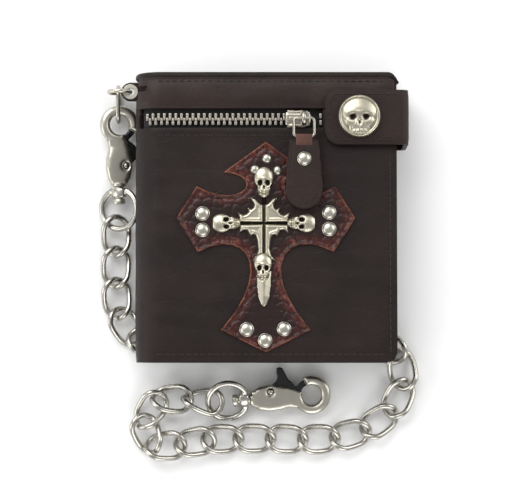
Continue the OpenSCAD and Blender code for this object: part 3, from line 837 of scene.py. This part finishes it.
def slider():
    """Cast slider: plate, flanges, crown with its feet, and ridge."""
    outline = [(0.2, -2.4), (0, 0), (0.2, 2.4), (1.2, 3.2), (4, 3.5), (7, 3.8), (8.6, 3.6),
               (10.4, 2.9), (11, 1.5), (11, -1.5), (10.4, -2.9), (8.6, -3.6), (7, -3.8),
               (4, -3.5), (1.2, -3.2)]
    outline = [(SLIDER_X + x, ZIP_Y + y) for x, y in outline]
    bow = lambda d: rounded(d, 0.9)
    groove = lambda x, y: 0.25 * np.exp(-((np.abs(y - ZIP_Y) - 2.3) / 0.3) ** 2)
    box = ((SLIDER_X, SLIDER_X + 11), (37, 45))
    plate = relief(lambda x, y: into(outline, x, y), box, 0.3,
                   lambda x, y, d: 22.75 + 0.9 * bow(d) - groove(x, y) * (d > 0.4),
                   lambda x, y, d: 22.55 - 0.25 * bow(d))
    flanges = rounded_blocks([((SLIDER_X + 1, ZIP_Y + s * 3.2 - 0.4, 20.9),
                               (SLIDER_X + 7, ZIP_Y + s * 3.2 + 0.4, 22.9))
                              for s in (-1, 1)], 0.25)
    a = np.radians(np.linspace(0, 180, 17))
    foot, legs = 2.45, np.linspace(23.1, 25.8, 6)
    arch = [(CROWN_X, ZIP_Y - foot, z) for z in legs]
    arch += [(CROWN_X, ZIP_Y - foot * math.cos(t), 25.8 + 2.3 * math.sin(t)) for t in a[1:-1]]
    arch += [(CROWN_X, ZIP_Y + foot, z) for z in legs[::-1]]
    crown = sweep(arch, 0.62, 14, ref=(1.0, 0, 0), flat=0.9)
    crown[0][:, 0] = CROWN_X + (crown[0][:, 0] - CROWN_X) * 1.55
    feet = rounded_blocks([((CROWN_X - 1.5, ZIP_Y + s * foot - 0.8, 23.2),
                            (CROWN_X + 1.5, ZIP_Y + s * foot + 0.8, 24.1))
                           for s in (-1, 1)], 0.3)
    ridge = rounded_blocks([((SLIDER_X + 1.6, ZIP_Y - 0.9, 23.1),
                             (SLIDER_X + 6.2, ZIP_Y + 0.9, 24.2))], 0.4)
    build("zip_slider_body", joined([plate, flanges, crown, feet, ridge]), "zip", "zip_slider",
          ["zip_slider"])


def pull():
    """Wire ring, leather tab with its fold round the ring, and the tab's rivet."""
    r, x, drop = 1.6, 4.3, 8.0
    loop = np.concatenate([circle((x - r, -r), r, 9, 0, 90), circle((-x + r, -r), r, 9, 90, 90),
                           circle((-x + r, r - drop), r, 9, 180, 90),
                           circle((x - r, r - drop), r, 9, 270, 90)])
    loop = np.column_stack([loop + [CROWN_X, ZIP_Y], np.full(len(loop), PULL_Z)])
    build("pull_ring_wire", sweep(loop, 0.6, 14, True), "zip", "zip_pull_ring",
          ["zip_pull_ring"])
    top, low, wide = 31.7, 2.7, 7.8
    side = np.array([(6.2, top), (6.9, 24.0), (7.5, 16.5), (wide, low + wide)])
    tip = circle((0, low + wide), wide, 28, 0, -180)
    outline = np.concatenate([side, tip, side[::-1] * [-1, 1]]) + [CROWN_X, 0]
    bow = lambda d: rounded(d, 0.7)
    shape = relief(lambda x, y: into(outline, x, y), ((8, 24), (low, top)), 0.5,
                   lambda x, y, d: PULL_Z + 0.25 + 0.7 * bow(d)
                   - 0.16 * np.exp(-((d - 1.5) / 0.3) ** 2) + 0.05 * waves(x, y, 9, 14),
                   lambda x, y, d: PULL_Z - 0.25 - 0.7 * bow(d))
    build("pull_tab_leather", shape, "tab", "pull_tab", ["pull_tab"])
    a = np.radians(np.linspace(-100, 100, 15))
    roll = np.array([(BAR_Y + 1.25 * math.cos(t), PULL_Z + 1.25 * math.sin(t)) for t in a])
    lap = [(31.4, PULL_Z + 1.35), (30.2, PULL_Z + 1.25), (29.3, PULL_Z + 0.95)]
    roll = np.concatenate([[(30.6, PULL_Z - 1.15)], roll, lap])
    grid = np.array([[(CROWN_X + x, y, z) for y, z in roll]
                     for x in np.linspace(-3.45, 3.45, 12)])
    # The fold's lighter colour is a painted highlight on the rolled edge.
    leather_piece("pull_tab_fold", grid[::-1], -0.55, 0.2, "fold", "pull_tab")
    build("pull_tab_rivet_head", rivet((CROWN_X, 23.7, PULL_Z + 0.95), 5.8), "nickel",
          "pull_tab", ["pull_tab_rivet"], weld=True)


def rivet(at, width, height=1.6):
    """Domed rivet head with a thin pressed rim."""
    r = width / 2
    dome = [(r * 0.9 * math.cos(t), 0.32 + (height - 0.32) * math.sin(t))
            for t in np.radians(np.linspace(8, 90, 14))]
    profile = [(0, -0.4), (r * 0.8, -0.4), (r * 0.96, -0.1), (r, 0.1), (r * 0.985, 0.24),
               (r * 0.93, 0.33)] + dome
    profile[-1] = (0, height)
    return revolve(profile, at, 40)


# ---- Cross badge ----
def curve(a, b, c, d):
    """Bezier curve from a to d, drawn towards b and c."""
    t = np.linspace(0, 1, 12)[:, None]
    a, b, c, d = map(np.array, (a, b, c, d))
    return (1 - t) ** 3 * a + 3 * t * (1 - t) ** 2 * b + 3 * t * t * (1 - t) * c + t ** 3 * d


def badge_outline():
    """Outline of the badge: four flared arms on concave curves."""
    left = np.concatenate([
        [(0, 31.3)], curve((-17.7, 18.5), (1, 17), (-10, 2), (-29, 12.6)), [(-37.5, -0.8)],
        curve((-28.4, -15), (-8, -4), (4, -22), (-18.8, -47.6)), [(0, -57)]])
    return np.concatenate([left, left[1:-1][::-1] * [-1, 1]])


def scales(x, y):
    """Crocodile scales: height between 0 in a valley and 1 on a scale."""
    rng = np.random.default_rng(19)
    gx, gy = np.meshgrid(np.arange(-42, 43, 4.6), np.arange(-62, 36, 3.4))
    gx = gx + 2.3 * (np.arange(len(gx)) % 2)[:, None]
    seeds = np.stack([gx.ravel(), gy.ravel()], 1) + rng.uniform(-1.1, 1.1, (gx.size, 2))
    away = np.hypot(x[..., None] - seeds[:, 0], (y[..., None] - seeds[:, 1]) * 1.25)
    near = np.partition(away, 1, axis=-1)
    return smooth_step((near[..., 1] - near[..., 0]) / 1.1)


def cross_badge():
    """Embossed leather badge, its rivets and the metal cross."""
    outline = badge_outline()

    def top(x, y, d):
        rim = 0.35 * np.exp(-((d - 0.55) / 0.5) ** 2)
        dip = -0.3 * np.exp(-((d - 1.7) / 0.6) ** 2)
        near = 0.25 + 0.75 * (1 - smooth_step((d - 4) / 4))
        edge = rounded(d, 0.45)
        scaly = 0.34 * near * (scales(x, y) - 0.5)
        return BADGE_BASE + (0.35 + 0.65 * edge) + rim + dip + scaly - 0.1
    shape = relief(lambda x, y: into(outline, x, y), ((-38, 38), (-58, 32)), 0.5, top,
                   lambda x, y, d: BADGE_BASE - 0.5 + 0 * d)
    values = {"edge": shape[2], "valley": scales(shape[0][:, 0], shape[0][:, 1])}
    build("croc_badge", shape, "croc", "wallet_front", ["cross_applique"],
          values=values)
    heads = [rivet((x, y, BADGE_TOP - 0.25), d, 1.7 if d > 5 else 1.5) for x, y, d in RIVETS]
    build("badge_rivets", joined(heads), "nickel", "wallet_front", ["cross_rivets"],
          weld=True)
    metal_cross()


def skull(u, v):
    """Height of a generic skull over a unit square, crown towards +v, 0 to 1."""
    out = lambda cu, cv, ru, rv: ((u - cu) / ru) ** 2 + ((v - cv) / rv) ** 2
    dome = lambda *oval: np.sqrt(np.clip(1 - out(*oval), 0, 1))
    pit = lambda *oval: np.exp(-out(*oval) ** 1.4)
    head = dome(0, 0.3, 0.95, 0.72)
    cheek = 0.78 * np.maximum(dome(-0.42, -0.2, 0.4, 0.34), dome(0.42, -0.2, 0.4, 0.34))
    jaw = 0.82 * dome(0, -0.5, 0.58, 0.52)
    h = np.maximum(np.maximum(head, cheek), jaw)
    h = h + 0.1 * pit(0, 0.2, 0.7, 0.1)
    holes = 0.7 * (pit(-0.36, -0.02, 0.23, 0.2) + pit(0.36, -0.02, 0.23, 0.2))
    holes = holes + 0.5 * pit(0, -0.32, 0.1, 0.15)
    teeth = 0.16 * (np.abs(np.sin(u * 15)) < 0.33) * (v < -0.52) * (v > -0.9)
    teeth = teeth + 0.22 * np.exp(-((v + 0.7) / 0.035) ** 2) * (np.abs(u) < 0.45)
    return np.clip(h - holes - teeth, 0, 1.1), holes + teeth


def metal_cross():
    """Cast cross: four barbed plates, a core, a blade and four skulls."""
    upper = [(0.35, 0.35), (9.9, 0.5), (10.9, 4.6), (8.6, 3.5), (7.3, 3.9), (6.4, 4.9),
             (6.9, 6.6), (5.3, 5.9), (4.5, 6.6), (4.2, 8.0), (5.9, 10.9), (3.6, 10.2),
             (1.6, 8.2), (0.35, 7.6)]
    lower = [(0.35, -0.35), (9.9, -0.6), (10.3, -4.2), (8.2, -2.9), (6.9, -3.1), (6.4, -4.2),
             (5.4, -5.6), (4.6, -4.8), (3.5, -5.2), (2.9, -7.0), (2.5, -10.8), (3.2, -13.4),
             (5.2, -16.0), (2.6, -15.0), (0.35, -14.2)]
    mirror = lambda s: [(-x, y) for x, y in s]
    plates = [upper, lower, mirror(upper), mirror(lower)]
    core = [[(-10, -0.8), (10, -0.8), (10, 0.8), (-10, 0.8)],
            [(-0.8, -16), (0.8, -16), (0.8, 11), (-0.8, 11)]]
    blade = [(-3.1, -20), (3.1, -20), (2.9, -26), (2.3, -31), (1.1, -34.2), (0, -35),
             (-1.1, -34.2), (-2.3, -31), (-2.9, -26)]
    # Middle, half width, half length and the turn that points the crown outwards
    heads = [(0, 17.1, 4.4, 6.5, 0), (-15.9, 0, 4.2, 6.2, 90), (15.9, 0, 4.2, 6.2, -90),
             (-0.4, -18.6, 4.1, 6.0, 0)]

    def local(x, y, head):
        cx, cy, w, length, turn = head
        a = math.radians(-turn)
        dx, dy = x - cx, y - cy
        return ((dx * math.cos(a) - dy * math.sin(a)) / w,
                (dx * math.sin(a) + dy * math.cos(a)) / length)

    def skull_depth(x, y, head):
        u, v = local(x, y, head)
        w = head[2]
        crown = (1 - np.hypot(u / 0.95, (v - 0.3) / 0.7)) * w * 0.9
        jaw = (1 - np.hypot(u / 0.62, (v + 0.45) / 0.53)) * w * 0.6
        return np.maximum(crown, jaw)

    def depth(x, y):
        d = np.maximum.reduce([into(p, x, y) for p in plates + core + [blade]])
        return np.maximum.reduce([d] + [skull_depth(x, y, h) for h in heads])

    def surface(x, y):
        height = np.full_like(x, 0.3)
        low = np.full_like(x, 0.0)
        for p in core:
            d = into(p, x, y)
            height = np.where(d > -0.05, np.maximum(height, 0.75), height)
            low = np.where(d > -0.05, 1.0, low)
        for p in plates:
            d = into(p, x, y)
            rise = 0.75 + 1.45 * (1 - (1 - np.clip(d / 1.25, 0, 1)) ** 2) ** 0.6
            hollow = 0.22 * smooth_step((d - 1.1) / 0.9)
            high = np.where(d > 0, rise - hollow, 0)
            low = np.where(high > height, 0.55 * (1 - smooth_step(d / 0.3)), low)
            height = np.maximum(height, high)
        d = into(blade, x, y)
        high = np.where(d > 0, 0.7 + 1.1 * np.clip(d / 2.4, 0, 1), 0)
        low = np.where(high > height, 0.3 * (1 - smooth_step(d / 0.4)), low)
        height = np.maximum(height, high)
        for head in heads:
            u, v = local(x, y, head)
            h, cut = skull(u, v)
            inside_head = skull_depth(x, y, head) > 0
            high = np.where(inside_head, 0.7 + 2.1 * h, 0)
            won = inside_head & (high > height - 0.9)
            height = np.where(won, high, height)
            low = np.where(won, np.clip(cut * 1.5, 0, 1), low)
        return height, low

    shape = relief(depth, ((-21, 21), (-36, 24)), 0.24,
                   lambda x, y, d: BADGE_TOP - 0.25
                   + surface(x, y)[0] * np.where(d > 0.02, 1, 0.72),
                   lambda x, y, d: BADGE_TOP - 0.4 + 0 * d)
    points = shape[0]
    low = surface(points[:, 0], points[:, 1])[1]
    points[:, :2] += METAL_MID
    build("pewter_cross", shape, "pewter", "wallet_front", ["metal_cross"],
          values={"low": low})


# ---- Snap ----
def snap():
    """Strap of leather from under the back, round the open edge and over the front."""
    wall = HALF_W + 4.1
    under = [(x, 0.95) for x in np.linspace(HALF_W - 5, wall - 2.2, 7)]
    a = np.radians(np.linspace(-90, 0, 9))
    bend = [(wall - 2.2 + 2.2 * math.cos(t), 3.15 + 2.2 * math.sin(t)) for t in a[1:]]
    rise = [(wall, z) for z in np.linspace(4.2, 21.8, 16)]
    a = np.radians(np.linspace(0, 90, 12))
    over = [(wall - 2.5 + 2.5 * math.cos(t), 21.8 + 2.5 * math.sin(t)) for t in a]
    flat = [(x, STRAP_TOP - 1.0) for x in np.arange(wall - 3.4, STRAP_BEND, -0.8)]
    a = np.radians(np.linspace(0, 90, 14))
    end = [(STRAP_BEND - STRAP_CORNER * math.sin(t), STRAP_TOP - 1.0) for t in a]
    path = np.array(under + bend + rise + over + flat + end)
    along = np.gradient(path, axis=0)
    along /= np.linalg.norm(along, axis=1, keepdims=True)
    out = np.stack([along[:, 1], -along[:, 0]], 1)
    rows = []
    for (x, z), (ox, oz) in zip(path, out):
        tuck = corner_tuck(STRAP_BEND - x, STRAP_CORNER) if z > 20 else 0
        y = np.linspace(STRAP_Y[0] + tuck * 0.999, STRAP_Y[1] - tuck * 0.999, 26)
        edge = np.minimum(y - STRAP_Y[0], STRAP_Y[1] - y)
        h = 0.95 - 0.22 * (1 - smooth_step(edge / 3))
        h = h + 0.07 * waves(np.full_like(y, x + z), y, 12, 17)
        rows.append(np.stack([x + ox * h, y, z + oz * h], 1))
    obj = leather_piece("strap_leather", np.array(rows), STRAP_T, 0.4, "tab", None,
                        ["snap_strap"])
    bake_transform(obj)
    snap_cap()


def snap_cap():
    """Round cap with a rim and a skull."""
    r = 9.0

    def surface(x, y):
        d = r - np.hypot(x, y)
        rim = 0.75 * np.exp(-((d - 0.65) / 0.45) ** 2)
        field = 1.15 + 0.5 * smooth_step((d - 1.0) / 5)
        u, v = x / 7.6, (y + 0.2) / 8.0
        h, cut = skull(u, v)
        inside_face = smooth_step((d - 1.2) / 0.5)
        return (field + rim + 1.15 * h * inside_face,
                inside_face * np.clip(cut * 1.5 + 0.4 * (h < 0.1), 0, 1))
    shape = relief(lambda x, y: r - np.hypot(x, y), ((-r, r), (-r, r)), 0.2,
                   lambda x, y, d: 0.35 + (surface(x, y)[0] - 0.35) * rounded(d, 0.5),
                   lambda x, y, d: 0.02 + 0 * d)
    points = shape[0]
    low = surface(points[:, 0], points[:, 1])[1]
    points += np.array([SNAP[0], SNAP[1], STRAP_TOP])
    build("snap_cap_face", shape, "pewter", "snap_strap", ["snap_cap"],
          values={"low": low})


# ---- Hanging ring, clasps and chain ----
def dress(node, material, soften):
    """A CAD node that keeps its own shape: rounded edges and a finish."""
    obj = frame["nodes"][node]
    obj.data.materials.clear()
    obj.data.materials.append(finishes[material])
    weld = obj.modifiers.new("weld", "WELD")
    weld.merge_threshold = 2e-6
    bevel = obj.modifiers.new("edges", "BEVEL")
    bevel.width, bevel.segments, bevel.limit_method = soften * MM, 2, "ANGLE"
    bevel.angle_limit = math.radians(50)


def hanging_ring():
    """Leather tab, wallet ring and joining link."""
    low, high = TAB_Y - TAB_R, TAB_Y + TAB_R
    tab = [(EYELET_X, low), (SPINE_X, low), (SPINE_X, high), (EYELET_X, high)]

    def depth(x, y):
        r = np.hypot(x - EYELET_X, y - TAB_Y)
        return np.minimum(np.maximum(into(tab, x, y), TAB_R - r), r - 2.3)
    bow = lambda d: rounded(d, 0.5)
    shape = relief(depth, ((-62, -44), (50, 58)), 0.4,
                   lambda x, y, d: 10.2 + 0.55 * bow(d),
                   lambda x, y, d: 9.8 - 0.55 * bow(d))
    build("chain_tab_leather", shape, "tab", "wallet_back", ["chain_tab"])
    a = circle((0, 0), 4.6, 72)
    loop = np.column_stack([a[:, 0] - 62.1, np.full(72, TAB_Y), a[:, 1] + 10.0])
    build("wallet_ring_wire", sweep(loop, 0.9, 16, True), "nickel", "wallet_ring",
          ["wallet_ring"])
    low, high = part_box("ring_link")
    mid = (low + high) / 2 / MM
    half_y, half_z = (high.y - low.y) / 2 / MM - 0.9, (high.z - low.z) / 2 / MM - 0.9
    bow_end = np.concatenate([circle((half_y - half_z, 0), half_z, 25, -90, 180),
                              circle((half_z - half_y, 0), half_z, 25, 90, 180)])
    loop = np.column_stack([np.full(len(bow_end), mid.x), bow_end[:, 0] + mid.y,
                            bow_end[:, 1] + mid.z])
    build("joining_link_wire", sweep(loop, 0.9, 16, True), "chain", "ring_link", ["ring_link"],
          Matrix.Scale(MM, 4))


def wedge(start, end):
    """Wedge of the hook's eye between two angles, past its outside."""
    a0, a1 = math.radians(start), math.radians(end)
    return [(EYE_X, 0), (EYE_X + 16 * math.cos(a0), 16 * math.sin(a0)),
            (EYE_X + 20 * math.cos((a0 + a1) / 2), 20 * math.sin((a0 + a1) / 2)),
            (EYE_X + 16 * math.cos(a1), 16 * math.sin(a1))]


def clasp_body():
    """Cast body: two cheeks with rounded edges and a core with the lever's slot."""
    body = [(10.2, -3.2), (10.2, 3.2), (11.6, 3.7), (13.2, 4.7), (17.5, 5.6), (22, 5.2),
            (27, 3.8), (29.6, 3.6), (30, -2), (29.4, -5.0), (26.5, -4.4), (22, -5.4),
            (17.5, -5.7), (13.2, -4.8), (11.6, -3.8)]
    slot = [(13.5, -0.6), (19, -0.9), (30.5, -5.2), (32.4, -3.2), (32.4, 8.4), (13.5, 8.4)]
    gate = wedge(112, 158)

    def cast(x, y):
        r = np.hypot(x - EYE_X, y)
        solid = np.maximum(EYE_R - r, into(body, x, y))
        hole = 1.08 - np.hypot(x - PIN[0], y - PIN[1])
        return np.minimum.reduce([solid, r - BORE_R, -into(gate, x, y), -hole])

    def pillow(x, y, d):
        edge = rounded(d, 2.5)
        barrel = 0.12 * np.exp(-((x - PIN[0]) ** 2 + (y - PIN[1]) ** 2) / 3)
        waist = 0.5 * np.exp(-((x - 28) / 3.2) ** 2)
        return 1.28 + (1.2 - waist) * edge - barrel
    box = ((10, 45), (-9, 9))
    upper = relief(cast, box, 0.38, pillow, lambda x, y, d: 1.2 + 0 * d)
    lower = (upper[0] * [1, 1, -1], [f[::-1] for f in upper[1]])
    core = relief(lambda x, y: np.minimum(cast(x, y) - 0.02, -into(slot, x, y)), box, 0.5,
                  lambda x, y, d: 1.22 + 0 * d, lambda x, y, d: -1.22 + 0 * d)
    neck = revolve([(0, 2.0), (1.9, 2.0), (2.6, 2.3), (2.7, 3.0), (2.6, 4.0), (2.2, 4.4),
                    (1.6, 4.5), (1.6, 9.3), (2.4, 9.5), (3.0, 9.9), (3.1, 10.6),
                    (2.6, 11.2), (0, 11.2)], axis="x", segments=36, squeeze=(1, 0.92))
    return joined([upper, lower, core, neck])


def clasp_lever():
    """Trigger with its horn and the gate that closes the hook's eye."""
    arm = [(16.6, 1.0), (17.4, 0.4), (29.6, 1.3), (29.8, 3.4), (27.9, 6.0), (26.4, 7.6),
           (25.3, 10.2), (24.3, 12.3), (23.2, 12.8), (21.9, 12.4), (21.6, 10.8), (21.9, 8.8),
           (21.4, 7.0), (19.6, 5.6), (17.2, 4.6), (16.3, 2.9)]
    gate = wedge(115, 170)

    def depth(x, y):
        r = np.hypot(x - EYE_X, y)
        ring = np.minimum.reduce([7.25 - r, r - 4.6, into(gate, x, y)])
        hole = 1.05 - np.hypot(x - PIN[0], y - PIN[1])
        return np.minimum.reduce([np.maximum(into(arm, x, y), ring), -hole, r - 4.6])

    def half(x, y, d):
        return 0.5 + 0.5 * rounded(d, 0.5)
    return relief(depth, ((15, 34), (-1, 14)), 0.3, half, lambda x, y, d: -half(x, y, d))


def clasp_ring(roll):
    """Open swivel ring in its collar, rolled on the clasp's line by some degrees."""
    a = np.radians(np.linspace(24, 336, 90))
    loop = np.stack([SWIVEL_R * np.cos(a), SWIVEL_R * np.sin(a), 0 * a], 1)
    wire = sweep(loop, SWIVEL_WIRE, 18)
    collar = revolve([(1.68, 4.9), (2.9, 4.9), (3.35, 5.2), (3.5, 6.0), (3.5, 8.0),
                      (3.3, 8.6), (2.9, 8.9), (1.68, 8.9), (1.68, 4.9)],
                     axis="x", segments=40, squeeze=(1, 0.72))
    wall = rounded_blocks([((6.2, s * 3.3 - 1.0, -1.2), (8.4, s * 3.3 + 1.0, 1.2))
                           for s in (-1, 1)], 0.5)
    points, faces = joined([wire, collar, wall])
    c, s = math.cos(math.radians(roll)), math.sin(math.radians(roll))
    turn = np.array([[1, 0, 0], [0, c, s], [0, -s, c]])
    return points @ turn, faces


def clasps():
    """Body, lever, swivel ring and pin of each clasp."""
    for name, mirrored, roll in (("a", True, 40), ("b", False, 25)):
        matrix = clasp_frame("swivel_" + name, "trigger_" + name, mirrored)
        body = "clasp_" + name
        build(body + "_body", clasp_body(), "nickel", body, [body + "_frame"], matrix)
        build(body + "_lever", clasp_lever(), "black", body + "_trigger", [body + "_trigger"],
              matrix)
        build(body + "_ring", clasp_ring(roll), "chain", body + "_swivel", [body + "_swivel"],
              matrix)
        pin = [(0, -2.75), (0.75, -2.7), (0.97, -2.5), (0.98, 2.5), (0.75, 2.7), (0, 2.75)]
        build(body + "_pin_rivet", revolve(pin, (*PIN, 0), 24), "chain", body, [body + "_pin"],
              matrix, weld=True)


def chain(wire):
    """One smooth twisted link, repeated wherever a link's solid lies."""
    length, width, twist = 16.8, 10.8, math.radians(42)
    r = width / 2
    x0 = length / 2 - r
    ends = np.concatenate([circle((x0, 0), r, 26, -90, 180), circle((-x0, 0), r, 26, 90, 180)])
    step = np.linspace(0, 1, 8)[1:-1, None]
    sides = [ends[25] + (ends[26] - ends[25]) * step, ends[51] + (ends[0] - ends[51]) * step]
    flat = np.concatenate([ends[:26], sides[0], ends[26:], sides[1]])
    a = twist * flat[:, 0] / (length / 2)
    path = np.stack([flat[:, 0], flat[:, 1] * np.cos(a), flat[:, 1] * np.sin(a)], 1)
    away = np.stack([path[:, 0] / 9, path[:, 1], path[:, 2]], 1)
    shape = sweep(path, wire / 2, 16, True, away)
    for i in range(1, LINKS + 1):
        name = "link_%d" % i
        build("chain_link_%d" % i, shape, "chain", name, [name], link_frame(name))


# ---- Stage ----
def stage(settings):
    """Floor, light from all round, soft lamps and camera."""
    floor = bpy.data.meshes.new("floor")
    half, deep = 3.0, -0.0002
    floor.from_pydata([(-half, -half, deep), (half, -half, deep), (half, half, deep),
                       (-half, half, deep)], [], [(0, 1, 2, 3)])
    floor.materials.append(finishes["floor"])
    obj = bpy.data.objects.new("floor", floor)
    bpy.context.scene.collection.objects.link(obj)
    world = bpy.data.worlds.new("studio")
    bpy.context.scene.world = world
    world.use_nodes = True
    sky = world.node_tree.nodes["Background"]
    sky.inputs["Color"].default_value = (1, 1, 1, 1)
    sky.inputs["Strength"].default_value = settings.sky
    # Place, aim, width and power of each soft lamp
    lamps = [((-0.4, 0.7, 0.7), 0.9, 9.5), ((0.8, 0.4, 0.5), 0.7, 4.5),
             ((0.15, -0.85, 0.45), 0.7, 4.0), ((-0.85, -0.2, 0.35), 0.6, 2.8)]
    for k, (at, width, power) in enumerate(lamps):
        lamp = bpy.data.lights.new("lamp_%d" % k, "AREA")
        lamp.size, lamp.energy = width, power
        holder = bpy.data.objects.new("lamp_%d" % k, lamp)
        bpy.context.scene.collection.objects.link(holder)
        holder.location = at
        holder.rotation_euler = (-Vector(at)).to_track_quat("-Z", "Y").to_euler()
    camera = bpy.data.cameras.new("camera")
    camera.lens, camera.sensor_width = 160, 36
    view = bpy.data.objects.new("camera", camera)
    bpy.context.scene.collection.objects.link(view)
    wide = 0.2172
    home = WALLET @ Vector((0, 0, 0))
    middle = Vector((home.x - 0.0041, home.y - 0.0082, 0.014))
    view.location = middle + Vector((0, 0, wide * camera.lens / camera.sensor_width))
    camera.clip_start, camera.clip_end = 0.01, 20
    bpy.context.scene.camera = view
    bpy.context.scene.view_settings.view_transform = "Standard"


# ---- Settings, operators and panel ----
class WalletSettings(bpy.types.PropertyGroup):
    """Sizes and colours of the wallet's finishes."""

    leather: FloatVectorProperty(
        name="Leather", description="Colour of the outer leather", subtype="COLOR",
        min=0, max=1, default=srgb(35, 24, 21))
    croc: FloatVectorProperty(
        name="Badge leather", description="Colour of the embossed badge near its edge",
        subtype="COLOR", min=0, max=1, default=srgb(76, 30, 25))
    nickel: FloatVectorProperty(
        name="Nickel", description="Colour of the plated metal", subtype="COLOR",
        min=0, max=1, default=srgb(196, 192, 180))
    thread: FloatVectorProperty(
        name="Thread", description="Colour of the stitching", subtype="COLOR",
        min=0, max=1, default=srgb(30, 22, 21))
    grain: FloatProperty(
        name="Grain", description="Grain cells of the leather in one metre",
        min=300, max=3000, default=1500)
    link_wire: FloatProperty(
        name="Link wire", description="Thickness of a chain link's wire",
        subtype="DISTANCE", unit="LENGTH", min=0.002, max=0.0026, default=0.0024)
    sky: FloatProperty(
        name="Room light", description="Strength of the light from all round",
        min=0, max=3, default=0.45)


class BuildStage(bpy.types.Operator):
    """Finishes, floor, lamps and camera"""

    bl_idname = "chain_wallet.stage"
    bl_label = "Finishes and stage"

    def execute(self, context):
        make_finishes(context.scene.chain_wallet)
        stage(context.scene.chain_wallet)
        return {"FINISHED"}


class BuildCovers(bpy.types.Operator):
    """Front and back covers with their halves of the spine"""

    bl_idname = "chain_wallet.covers"
    bl_label = "Covers"

    def execute(self, context):
        covers()
        return {"FINISHED"}


class BuildBand(bpy.types.Operator):
    """Band across the top of the front cover"""

    bl_idname = "chain_wallet.band"
    bl_label = "Top band"

    def execute(self, context):
        top_band()
        return {"FINISHED"}


class BuildInside(bpy.types.Operator):
    """Card pockets, note divider, lining and coin bag"""

    bl_idname = "chain_wallet.inside"
    bl_label = "Inside"

    def execute(self, context):
        inside()
        return {"FINISHED"}


class BuildZip(bpy.types.Operator):
    """Tapes, teeth, slider, pull ring and leather pull"""

    bl_idname = "chain_wallet.zip"
    bl_label = "Zip"

    def execute(self, context):
        zip_parts()
        return {"FINISHED"}


class BuildBadge(bpy.types.Operator):
    """Embossed badge, its rivets and the cast cross"""

    bl_idname = "chain_wallet.badge"
    bl_label = "Cross badge"

    def execute(self, context):
        cross_badge()
        return {"FINISHED"}


class BuildSnap(bpy.types.Operator):
    """Strap, cap, stud and socket"""

    bl_idname = "chain_wallet.snap"
    bl_label = "Snap strap"

    def execute(self, context):
        snap()
        dress("snap_stud", "nickel", 0.08)
        dress("snap_socket", "nickel", 0.15)
        return {"FINISHED"}


class BuildStitches(bpy.types.Operator):
    """Stitching of the cover, the band and the strap"""

    bl_idname = "chain_wallet.stitches"
    bl_label = "Stitching"

    def execute(self, context):
        stitching()
        return {"FINISHED"}


class BuildRing(bpy.types.Operator):
    """Leather tab, eyelet, ring and joining link"""

    bl_idname = "chain_wallet.ring"
    bl_label = "Hanging ring"

    def execute(self, context):
        hanging_ring()
        dress("chain_eyelet", "nickel", 0.12)
        return {"FINISHED"}


class BuildClasps(bpy.types.Operator):
    """Both trigger clasps with their swivel rings"""

    bl_idname = "chain_wallet.clasps"
    bl_label = "Clasps"

    def execute(self, context):
        clasps()
        return {"FINISHED"}


class BuildChain(bpy.types.Operator):
    """All the chain's links"""

    bl_idname = "chain_wallet.chain"
    bl_label = "Chain"

    def execute(self, context):
        chain(context.scene.chain_wallet.link_wire / MM)
        return {"FINISHED"}


STEPS = (BuildStage, BuildCovers, BuildBand, BuildInside, BuildZip, BuildBadge, BuildSnap,
         BuildStitches, BuildRing, BuildClasps, BuildChain)


class WalletPanel(bpy.types.Panel):
    """Settings and build steps of the chain wallet"""

    bl_idname = "VIEW3D_PT_chain_wallet"
    bl_label = "Chain wallet"
    bl_space_type = "VIEW_3D"
    bl_region_type = "UI"
    bl_category = "Chain wallet"

    def draw(self, context):
        settings = context.scene.chain_wallet
        for name in WalletSettings.__annotations__:
            self.layout.prop(settings, name)
        for step in STEPS:
            self.layout.operator(step.bl_idname)


def register():
    for cls in (WalletSettings, *STEPS, WalletPanel):
        bpy.utils.register_class(cls)
    bpy.types.Scene.chain_wallet = PointerProperty(type=WalletSettings)


def unregister():
    del bpy.types.Scene.chain_wallet
    for cls in (WalletPanel, *reversed(STEPS), WalletSettings):
        bpy.utils.unregister_class(cls)


def main():
    register()
    for step in STEPS:
        group, name = step.bl_idname.split(".")
        getattr(getattr(bpy.ops, group), name)()


if __name__ == "__main__":
    main()
